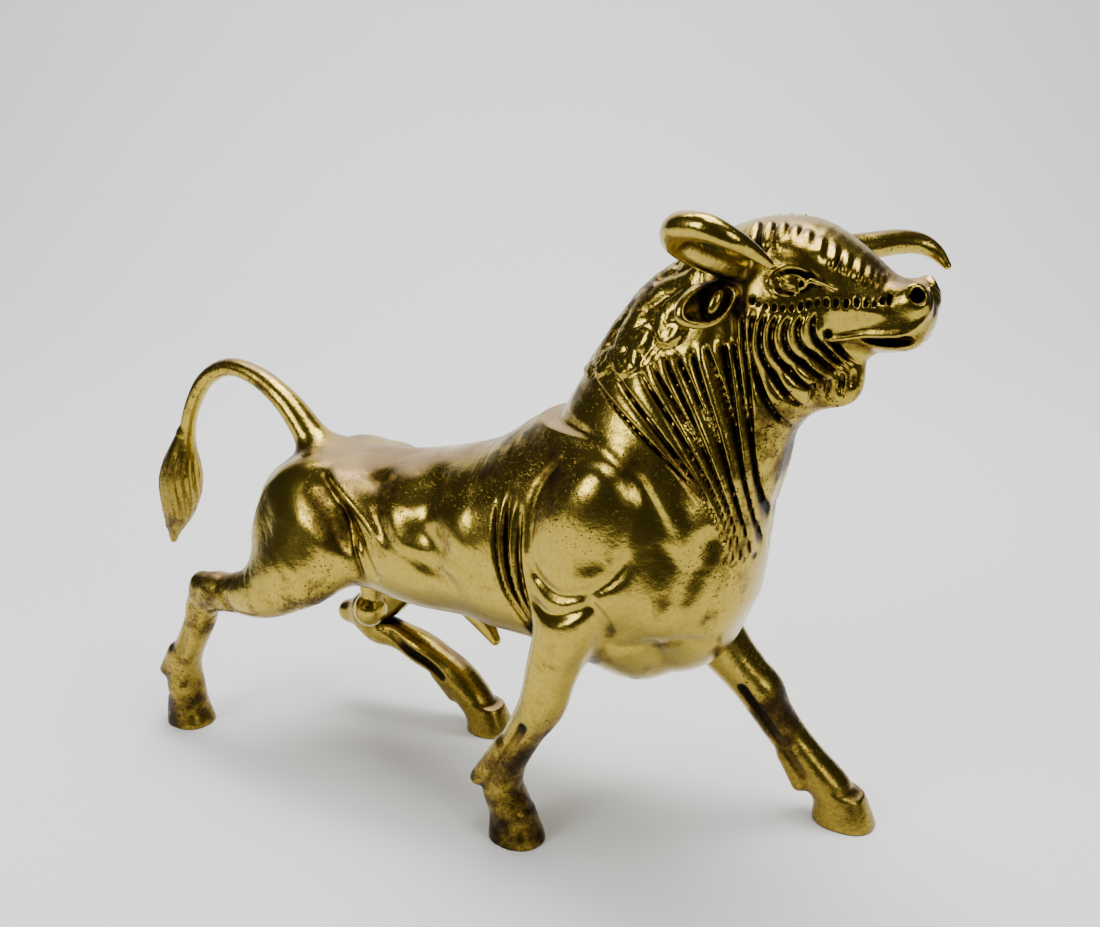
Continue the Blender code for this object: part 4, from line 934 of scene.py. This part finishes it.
def model_features(clay):
    for rows in (RIGHT_HORN, LEFT_HORN):
        clay.add(Tube(rows), 5.0)
    # ears: a leaf hollowed deep on its outer side, with a lobe at its root
    clay.add_pair(Tube(((156, 20, 318, 7), (153, 31, 316.5, 6), (149, 40, 313.5, 5))), 4.0)
    x, y, z = EAR
    clay.add_pair(Muscle(EAR, (16, 6.5, 10.5), EAR_LINE, 1.8), 4.0)
    clay.cut_pair(Muscle((x + 3.7, y + 4.9, z + 1.8), (13.8, 7.8, 8.6), EAR_LINE, 1.8), 0.8)
    clay.add_pair(Muscle((x + 4.5, y - 0.5, z + 2.0), (7.0, 3.6, 3.0), (-0.3, 0.4, -1.0)), 2.5)
    # forehead locks, hanging over the edge of the brow in a row
    line = through(BROW_ROW, BROW_LOCKS - 1)
    for index, (x, y, z) in enumerate(line):
        size = 1.0 - 0.5 * index / (BROW_LOCKS - 1)
        radii = (BROW_LOCK[0] * size, BROW_LOCK[1] * size**0.5, BROW_LOCK[2] * size**0.5)
        clay.add_pair(Muscle((x, y, z), radii, (0.12, 0.75, -0.62)), 0.8)
    # eye: socket and ball
    clay.cut_pair(Muscle(EYE_SOCKET, (9.0, 5.6, 6.8), EYE_LINE), 1.5)
    clay.add_pair(Muscle(EYE_BALL, (5.7, 4.7, 3.4), EYE_LINE), 0.8)
    # nostril: swollen rim with a deep hole
    clay.add_pair(Muscle((232, 10.5, 317), (7.5, 6, 6.3), (1.0, 0.5, 0.0)), 3.0)
    clay.add_pair(hoop(NOSTRIL, NOSTRIL_LINE, 4.9, 1.3), 1.0)
    clay.cut_pair(Muscle(NOSTRIL, (8.0, 3.4, 3.2), NOSTRIL_LINE), 0.8)
    # mouth: a gap between the upper lip's edge and the lower lip
    clay.cut_pair(Muscle((223, 16, 298.5), (13, 6, 2.6), (1.0, -0.1, 0.08)), 1.5)
    line = [(x, y, z, 1.5) for x, y, z in LIP_LINE]
    clay.add_pair(Tube(line), 1.5)


def figure(cell):
    clay = Clay(GRID_LOW, GRID_HIGH, cell)
    model_body(clay)
    model_legs(clay)
    model_rear(clay)
    model_skull(clay)
    model_folds(clay)
    model_features(clay)
    return clay


# Fine carving, on the fine mesh alone
# Slots under the eye and along the muzzle, then pleats of the dewlap: x, z, reach
TEETH_LINE = ((165, 314), (174, 312), (184, 312.3), (193, 314.5), (204, 315.2), (215, 316), (223, 317))
TEETH = 17
PLEATS = ((190, 270, 7), (196, 270, 7), (202, 274, 6), (207, 277, 5))
# Eye rims: centre x, z, reach x, z, radius, blend, pinch, and how far out
EYE_RIMS = (
    ((181.6, 323.6), (10.8, 7.4), 1.2, 0.8, 1.15, None),
    ((181.4, 323.2), (7.2, 3.7), 0.8, 0.5, 1.4, 28.6),
)
EYE_CORNER = ((190, 28.5, 325, 1.3), (195, 26, 323.5, 1.1), (200, 23.5, 321, 0.8))
TUFT_STRANDS = 16
TUFT_WINDOW = ((-272, -20, 100), (-222, 20, 182))


def flank_of(clay, x, z):
    """Distance of the right-hand surface from the mid-plane at a place seen from the side."""
    i = int(round((x - clay.low[0]) / clay.cell))
    k = int(round((z - clay.low[2]) / clay.cell))
    if not (0 <= i < clay.field.shape[0] and 0 <= k < clay.field.shape[2]):
        return 20.0
    inside = np.flatnonzero(clay.field[i, :, k] < 0)
    return -clay.axes[1][inside[0]] if len(inside) else 0.0


def ring(clay, centre, reach, radius, blend, pinch, level):
    """A raised rim round the eye, lying on the face or at a level of its own."""
    points = []
    for angle in np.radians(np.arange(0, 361, 18)):
        x = centre[0] + reach[0] * math.cos(angle)
        z = centre[1] + reach[1] * math.copysign(abs(math.sin(angle)) ** pinch, math.sin(angle))
        points.append((x, z))
    rows = [(x, level or flank_of(clay, x, z), z, radius) for x, z in points]
    rows[-1] = rows[0]
    clay.add_pair(Tube(rows, smooth=1), blend)


def carve_face(clay):
    for rim in EYE_RIMS:
        ring(clay, *rim)
    clay.add_pair(Tube(EYE_CORNER), 1.5)
    # the slots grow taller towards the nose
    for index, (x, z) in enumerate(through(TEETH_LINE, TEETH - 1)):
        reach = 1.9 + 1.3 * index / TEETH
        y = flank_of(clay, x, z)
        clay.cut_pair(Muscle((x, y + 0.2, z), (reach, 1.8, 0.95), (0.08, 0.0, 1.0)), 0.5)
    for x, z, reach in PLEATS:
        y = flank_of(clay, x, z)
        clay.cut_pair(Muscle((x, y + 0.6, z), (reach, 2.0, 1.3), (0.05, 0.0, 1.0)), 1.2)


def carve_tuft(clay):
    tuft = Tube(TUFT)
    window, x, y, z = clay.block(*TUFT_WINDOW, 0.0)
    place, across, forward, _, _ = tuft.chart(x, y, z)
    turn = np.arctan2(across, forward)
    strand = np.abs(np.sin(TUFT_STRANDS / 2 * turn + 2.4 * np.sin(6.5 * place))) ** 0.7 - 0.7
    share = smooth_step(place, 0.10, 0.15) * smooth_step(0.99 - place, 0.0, 0.2)
    clay.field[window] -= 1.9 * strand * share


def carve(clay):
    carve_face(clay)
    carve_tuft(clay)
    z = clay.axes[2].astype(np.float32)[None, None, :]
    np.maximum(clay.field, -z, out=clay.field)


# From the grid to meshes
# Distances at which the room before the skin is measured, and the weight of each
HOLLOW_REACHES = ((1.6, 0.8), (3.5, 0.7), (7.0, 0.45), (14.0, 0.25))
# Where the skin is divided: x behind the barrel above the legs' top and below it, then planes
HIND_END = -22.0
LEGS_PART = 8.0
LEG_TOP = 75.0
POLL = (152, 312)
NECK_SLOPE = (0.37, 0.93)
NECK_REACH = 100.0
HEAD_SLOPE = (0.85, 0.53)
HEAD_START = 272.0
SECTIONS = ("hind_body", "fore_body", "neck", "head")
SEAM_CENTRES = ((-22, 0, 160), (60, 0, 185), (125, 0, 250), (150, 0, 290))


def sample(clay, points):
    """The field's value at each point, read smoothly."""
    field = clay.field
    place = (points - clay.low) / clay.cell
    base = np.clip(np.floor(place).astype(np.int64), 0, np.array(field.shape) - 2)
    part = place - base
    value = np.zeros(len(points))
    for corner in ((i, j, k) for i in (0, 1) for j in (0, 1) for k in (0, 1)):
        weight = np.ones(len(points))
        for axis in range(3):
            weight *= part[:, axis] if corner[axis] else 1 - part[:, axis]
        value += weight * field[tuple((base + corner).T)]
    return value


def outward(clay, points):
    """Unit normals of the surface at the given points."""
    step = 0.8 * clay.cell
    slopes = []
    for axis in range(3):
        shift = np.zeros(3)
        shift[axis] = step
        ahead = sample(clay, points + shift)
        slopes.append(ahead - sample(clay, points - shift))
    normals = np.stack(slopes, axis=1)
    return normals / np.maximum(np.linalg.norm(normals, axis=1), 1e-9)[:, None]


def hollowness(clay, points, normals):
    """How enclosed each point is: nought on open skin, one deep in a groove."""
    total = np.zeros(len(points))
    for reach, share in HOLLOW_REACHES:
        room = sample(clay, points + normals * reach)
        total += share * np.clip(1 - room / reach, 0.0, 1.0)
    return np.clip(total, 0.0, 1.0)


def largest(count, quads):
    """Which vertices belong to the largest joined piece."""
    label = np.arange(count)
    while True:
        low = label[quads].min(axis=1)
        new = label.copy()
        np.minimum.at(new, quads.ravel(), np.repeat(low, 4))
        new = new[new]
        if np.array_equal(new, label):
            break
        label = new
    names, sizes = np.unique(label, return_counts=True)
    return label == names[np.argmax(sizes)]


def section_of(points):
    """Which of the four meshes each point belongs to: hind body, fore body, neck or head."""
    x, z = points[:, 0], points[:, 2]
    section = np.where(x > np.where(z > LEG_TOP, HIND_END, LEGS_PART), 1, 0)
    down = NECK_SLOPE[0] * (POLL[0] - x) + NECK_SLOPE[1] * (POLL[1] - z)
    section[down < NECK_REACH] = 2
    section[HEAD_SLOPE[0] * x + HEAD_SLOPE[1] * z > HEAD_START] = 3
    return section


def mesh_of(name, vertices, normals, hollow, quads, centre):
    """One mesh of the skin, closed inside where it meets the next."""
    used, inverse = np.unique(quads, return_inverse=True)
    faces = inverse.reshape(quads.shape)
    edges = np.concatenate([faces[:, [k, (k + 1) % 4]] for k in range(4)])
    size = len(used)
    keys = edges[:, 0] * size + edges[:, 1]
    back = edges[:, 1] * size + edges[:, 0]
    rim = edges[~np.isin(keys, back)]
    fan = np.column_stack((rim[:, 1], rim[:, 0], np.full(len(rim), size)))
    points = np.vstack((vertices[used], centre))
    mesh = bpy.data.meshes.new(name)
    mesh.from_pydata(points.tolist(), [], faces.tolist() + fan.tolist())
    mesh.polygons.foreach_set("use_smooth", np.ones(len(mesh.polygons), bool))
    # the hollowness goes to the brass, which darkens it as patina and painted shade
    layer = mesh.attributes.new("hollow", "FLOAT", "POINT")
    layer.data.foreach_set("value", np.append(hollow[used], 1.0).astype(np.float32))
    shading = np.vstack((normals[used], (0.0, 0.0, 1.0)))
    mesh.normals_split_custom_set_from_vertices(shading.tolist())
    return mesh


def build_bull(material):
    clay = figure(CELL)
    carve(clay)
    vertices, quads = skin(clay)
    keep = largest(len(vertices), quads)
    quads = quads[keep[quads[:, 0]]]
    normals = outward(clay, vertices)
    hollow = hollowness(clay, vertices, normals)
    low = vertices[keep].min(axis=0)
    high = vertices[keep].max(axis=0)
    unit = (CAD_BOX[1][0] - CAD_BOX[0][0]) / (high[0] - low[0])
    middle = (low + high) / 2
    middle[2] = 0.0
    placed = (vertices - middle) * unit
    section = section_of(vertices[quads].mean(axis=1))
    for index, name in enumerate(SECTIONS):
        part = quads[section == index]
        centre = np.array(SEAM_CENTRES[index], float)
        mesh = mesh_of(name, placed, normals, hollow, part, (centre - middle) * unit)
        mesh.materials.append(material)
        piece = bpy.data.objects.new("bull_" + name, mesh)
        bpy.context.scene.collection.objects.link(piece)
        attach(piece, "root")
        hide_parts("bull")


# Finish
# Brass from clean to darkest, along the grime, patina and painted shade of the hollows
BRASS_COLOURS = (
    (0.0, (0.47, 0.345, 0.052)),
    (0.22, (0.30, 0.210, 0.030)),
    (0.45, (0.145, 0.092, 0.015)),
    (0.72, (0.050, 0.030, 0.008)),
    (1.0, (0.012, 0.008, 0.004)),
)
# Dull film on top; its colour is partly a painted reflection of the ceiling
DULL_FILM_AND_CEILING_SHEEN = (0.36, 0.235, 0.115)
FLOOR_COLOUR = (0.86, 0.865, 0.86)
ROOM_COLOUR = (0.50, 0.50, 0.48)
ROOM_STRENGTH = 0.10


def node(tree, kind, **values):
    made = tree.nodes.new(kind)
    for name, value in values.items():
        setattr(made, name, value)
    return made


def texture(tree, kind, where, **sizes):
    """A noise or cell texture laid through the bull."""
    made = tree.nodes.new(kind)
    for name, value in sizes.items():
        made.inputs[name].default_value = value
    tree.links.new(where, made.inputs["Vector"])
    return made.outputs[0]


def calc(tree, operation, *values, clamp=False):
    """One step of arithmetic between node outputs and numbers."""
    made = tree.nodes.new("ShaderNodeMath")
    made.operation = operation
    made.use_clamp = clamp
    for slot, value in zip(made.inputs, values):
        if isinstance(value, (int, float)):
            slot.default_value = value
        else:
            tree.links.new(value, slot)
    return made.outputs[0]


def between(tree, value, low, high):
    """Nought below low, one above high, smooth between."""
    made = tree.nodes.new("ShaderNodeMapRange")
    made.interpolation_type = "SMOOTHSTEP"
    made.inputs["From Min"].default_value = low
    made.inputs["From Max"].default_value = high
    tree.links.new(value, made.inputs["Value"])
    return made.outputs["Result"]


def ramp(tree, value, stops):
    made = tree.nodes.new("ShaderNodeValToRGB")
    marks = made.color_ramp.elements
    while len(marks) < len(stops):
        marks.new(0.5)
    for mark, (place, colour) in zip(marks, stops):
        mark.position = place
        mark.color = (*colour, 1.0)
    tree.links.new(value, made.inputs["Fac"])
    return made.outputs["Color"]


def old_brass():
    """Worn yellow brass: dark in the hollows with patina and painted shade, blotched and pitted, dull
    at the feet, and dull on top with a painted ceiling reflection.
    """
    material = bpy.data.materials.new("old_brass")
    material.use_nodes = True
    tree = material.node_tree
    shader = tree.nodes["Principled BSDF"]
    shader.inputs["Metallic"].default_value = 1.0
    where = node(tree, "ShaderNodeTexCoord").outputs["Object"]
    hollow = node(tree, "ShaderNodeAttribute", attribute_name="hollow").outputs["Fac"]
    place = node(tree, "ShaderNodeSeparateXYZ")
    tree.links.new(where, place.inputs[0])
    facing = node(tree, "ShaderNodeSeparateXYZ")
    tree.links.new(node(tree, "ShaderNodeNewGeometry").outputs["Normal"], facing.inputs[0])
    broad = texture(tree, "ShaderNodeTexNoise", where, Scale=11.0, Detail=3.0)
    middle = texture(tree, "ShaderNodeTexNoise", where, Scale=48.0, Detail=5.0, Roughness=0.6)
    fine = texture(tree, "ShaderNodeTexNoise", where, Scale=450.0, Detail=6.0, Roughness=0.65)
    cells = texture(tree, "ShaderNodeTexVoronoi", where, Scale=420.0)
    cracks = texture(tree, "ShaderNodeTexNoise", where, Scale=230.0, Detail=2.0, Distortion=0.8)

    # patina and painted shade darken the hollows; dirt gathers in blotches and down the legs
    blotch = calc(tree, "MULTIPLY", middle, broad)
    hollow_patina_and_shade = between(tree, hollow, 0.12, 0.95)
    spots = between(tree, blotch, 0.24, 0.42)
    feet = between(tree, place.outputs["Z"], 0.12, 0.01)
    tuft = between(tree, place.outputs["X"], -0.206, -0.222)
    tuft = calc(tree, "MULTIPLY", tuft, between(tree, place.outputs["Z"], 0.19, 0.165))
    feet = calc(tree, "MAXIMUM", feet, tuft)
    # the grime here also carries the painted shade of the hollows
    grime_and_shade = calc(tree, "MAXIMUM", hollow_patina_and_shade, calc(tree, "MULTIPLY", spots, 0.7))
    grime_and_shade = calc(tree, "ADD", grime_and_shade, calc(tree, "MULTIPLY", feet, 0.24))
    grain = calc(tree, "MULTIPLY_ADD", fine, 0.6, -0.27)
    grime_and_shade = calc(tree, "ADD", grime_and_shade, grain, clamp=True)

    # pinholes of the casting and fine cracks, each in patches
    hole = calc(tree, "LESS_THAN", cells, calc(tree, "MULTIPLY_ADD", fine, 0.55, -0.08))
    hole = calc(tree, "MULTIPLY", hole, between(tree, broad, 0.47, 0.58))
    crack = calc(tree, "COMPARE", cracks, 0.5, 0.012)
    crack = calc(tree, "MULTIPLY", crack, between(tree, blotch, 0.27, 0.31))
    marks = calc(tree, "MAXIMUM", hole, crack)
    grime_and_shade = calc(tree, "MAXIMUM", grime_and_shade, calc(tree, "MULTIPLY", marks, 0.9))

    # a dull brown film where the bull faces up, its colour partly a painted reflection of the ceiling
    top = between(tree, facing.outputs["Z"], 0.72, 0.93)
    top = calc(tree, "MULTIPLY", top, between(tree, calc(tree, "ADD", broad, middle), 0.86, 1.02))
    film_and_ceiling_sheen = calc(tree, "MULTIPLY", top, calc(tree, "SUBTRACT", 0.85, hollow_patina_and_shade), clamp=True)

    # painted ceiling reflection: the film's colour is mixed over the brass where it faces up
    colour = node(tree, "ShaderNodeMix", data_type="RGBA")
    tree.links.new(film_and_ceiling_sheen, colour.inputs["Factor"])
    tree.links.new(ramp(tree, grime_and_shade, BRASS_COLOURS), colour.inputs["A"])
    colour.inputs["B"].default_value = (*DULL_FILM_AND_CEILING_SHEEN, 1.0)
    tree.links.new(colour.outputs["Result"], shader.inputs["Base Color"])
    rough = calc(tree, "MULTIPLY_ADD", grime_and_shade, 0.30, 0.19)
    rough = calc(tree, "ADD", rough, calc(tree, "MULTIPLY", film_and_ceiling_sheen, 0.2))
    tree.links.new(rough, shader.inputs["Roughness"])

    # hand-finished waves, grain and pinholes in relief
    height = calc(tree, "MULTIPLY_ADD", fine, 0.10, middle)
    height = calc(tree, "SUBTRACT", height, calc(tree, "MULTIPLY", marks, 0.3))
    bump = node(tree, "ShaderNodeBump")
    bump.inputs["Strength"].default_value = 0.55
    bump.inputs["Distance"].default_value = 0.0013
    tree.links.new(height, bump.inputs["Height"])
    tree.links.new(bump.outputs["Normal"], shader.inputs["Normal"])
    return material


# Room, in metres
FLOOR_FRONT = 0.5
FLOOR_BACK = 1.1
FLOOR_HALF = 1.5
SWEEP = 0.5
WALL_TOP = 2.2
AIM = (0.02, 0.0, 0.15)
# Lights: name, place, aim, width, height, power
LIGHTS = (
    ("window", (-0.5, -1.1, 0.75), AIM, 0.55, 0.6, 9),
    ("lamp", (1.25, -0.5, 0.7), AIM, 0.3, 0.6, 4),
    ("ceiling", (0.2, 0.3, 2.1), (0.1, 0.2, 0.0), 1.7, 1.2, 62),
    ("backdrop_wash", (-0.6, 0.4, 2.0), (-0.8, 1.6, 0.5), 1.4, 0.6, 26),
)


def pale_floor():
    """A pale floor that rises behind the bull in one sweep."""
    profile = [(-FLOOR_FRONT, 0.0), (FLOOR_BACK, 0.0)]
    for angle in range(10, 91, 10):
        turn = math.radians(angle)
        profile.append((FLOOR_BACK + SWEEP * math.sin(turn), SWEEP - SWEEP * math.cos(turn)))
    profile.append((FLOOR_BACK + SWEEP, WALL_TOP))
    a = math.radians(CAMERA_AZIMUTH)
    side = Vector((math.cos(a), math.sin(a), 0.0))
    away = Vector((-math.sin(a), math.cos(a), 0.0))
    verts = []
    for depth, height in profile:
        for across in (-FLOOR_HALF, FLOOR_HALF):
            verts.append(side * across + away * depth + Vector((0.0, 0.0, height)))
    faces = [(2 * k, 2 * k + 1, 2 * k + 3, 2 * k + 2) for k in range(len(profile) - 1)]
    mesh = bpy.data.meshes.new("floor")
    mesh.from_pydata(verts, [], faces)
    mesh.polygons.foreach_set("use_smooth", [True] * len(faces))
    material = bpy.data.materials.new("pale_floor")
    material.use_nodes = True
    shader = material.node_tree.nodes["Principled BSDF"]
    shader.inputs["Base Color"].default_value = (*FLOOR_COLOUR, 1.0)
    shader.inputs["Roughness"].default_value = 0.7
    mesh.materials.append(material)
    floor = bpy.data.objects.new("floor", mesh)
    bpy.context.scene.collection.objects.link(floor)


def soft_box(name, place, aim, width, height, power):
    light = bpy.data.lights.new(name, "AREA")
    light.shape = "RECTANGLE"
    light.size = width
    light.size_y = height
    light.energy = power
    item = bpy.data.objects.new(name, light)
    item.location = place
    item.rotation_euler = (Vector(aim) - Vector(place)).to_track_quat("-Z", "Y").to_euler()
    bpy.context.scene.collection.objects.link(item)


def light_room():
    """A dim room with a window, a far lamp, a wide ceiling light and a wash for the backdrop."""
    world = bpy.data.worlds.new("room")
    world.use_nodes = True
    back = world.node_tree.nodes["Background"]
    back.inputs["Color"].default_value = (*ROOM_COLOUR, 1.0)
    back.inputs["Strength"].default_value = ROOM_STRENGTH
    bpy.context.scene.world = world
    for light in LIGHTS:
        soft_box(*light)


# Camera, where the photo's stood: degrees, and figure millimetres
CAMERA_AZIMUTH = 29.0
CAMERA_ELEVATION = 18.0
CAMERA_DISTANCE = 800.0
CAMERA_TARGET = (-14.0, 100.0, 170.0)
CAMERA_LENS = 40.29
# Middle of the figure's box, and metres to one figure millimetre
DRAWN_MIDDLE = (-8.53, -10.14)
UNIT = 0.00098


def place_camera():
    a = math.radians(CAMERA_AZIMUTH)
    e = math.radians(CAMERA_ELEVATION)
    back = Vector((math.sin(a) * math.cos(e), -math.cos(a) * math.cos(e), math.sin(e)))
    right = Vector((math.cos(a), math.sin(a), 0.0))
    x, y, z = CAMERA_TARGET
    target = Vector((x - DRAWN_MIDDLE[0], y - DRAWN_MIDDLE[1], z)) * UNIT
    data = bpy.data.cameras.new("camera")
    data.sensor_width = 36.0
    data.lens = CAMERA_LENS
    camera = bpy.data.objects.new("camera", data)
    camera.matrix_world = Matrix((right, back.cross(right), back)).transposed().to_4x4()
    camera.matrix_world.translation = target + back * CAMERA_DISTANCE * UNIT
    bpy.context.scene.collection.objects.link(camera)
    bpy.context.scene.camera = camera


build_bull(old_brass())
pale_floor()
light_room()
place_camera()
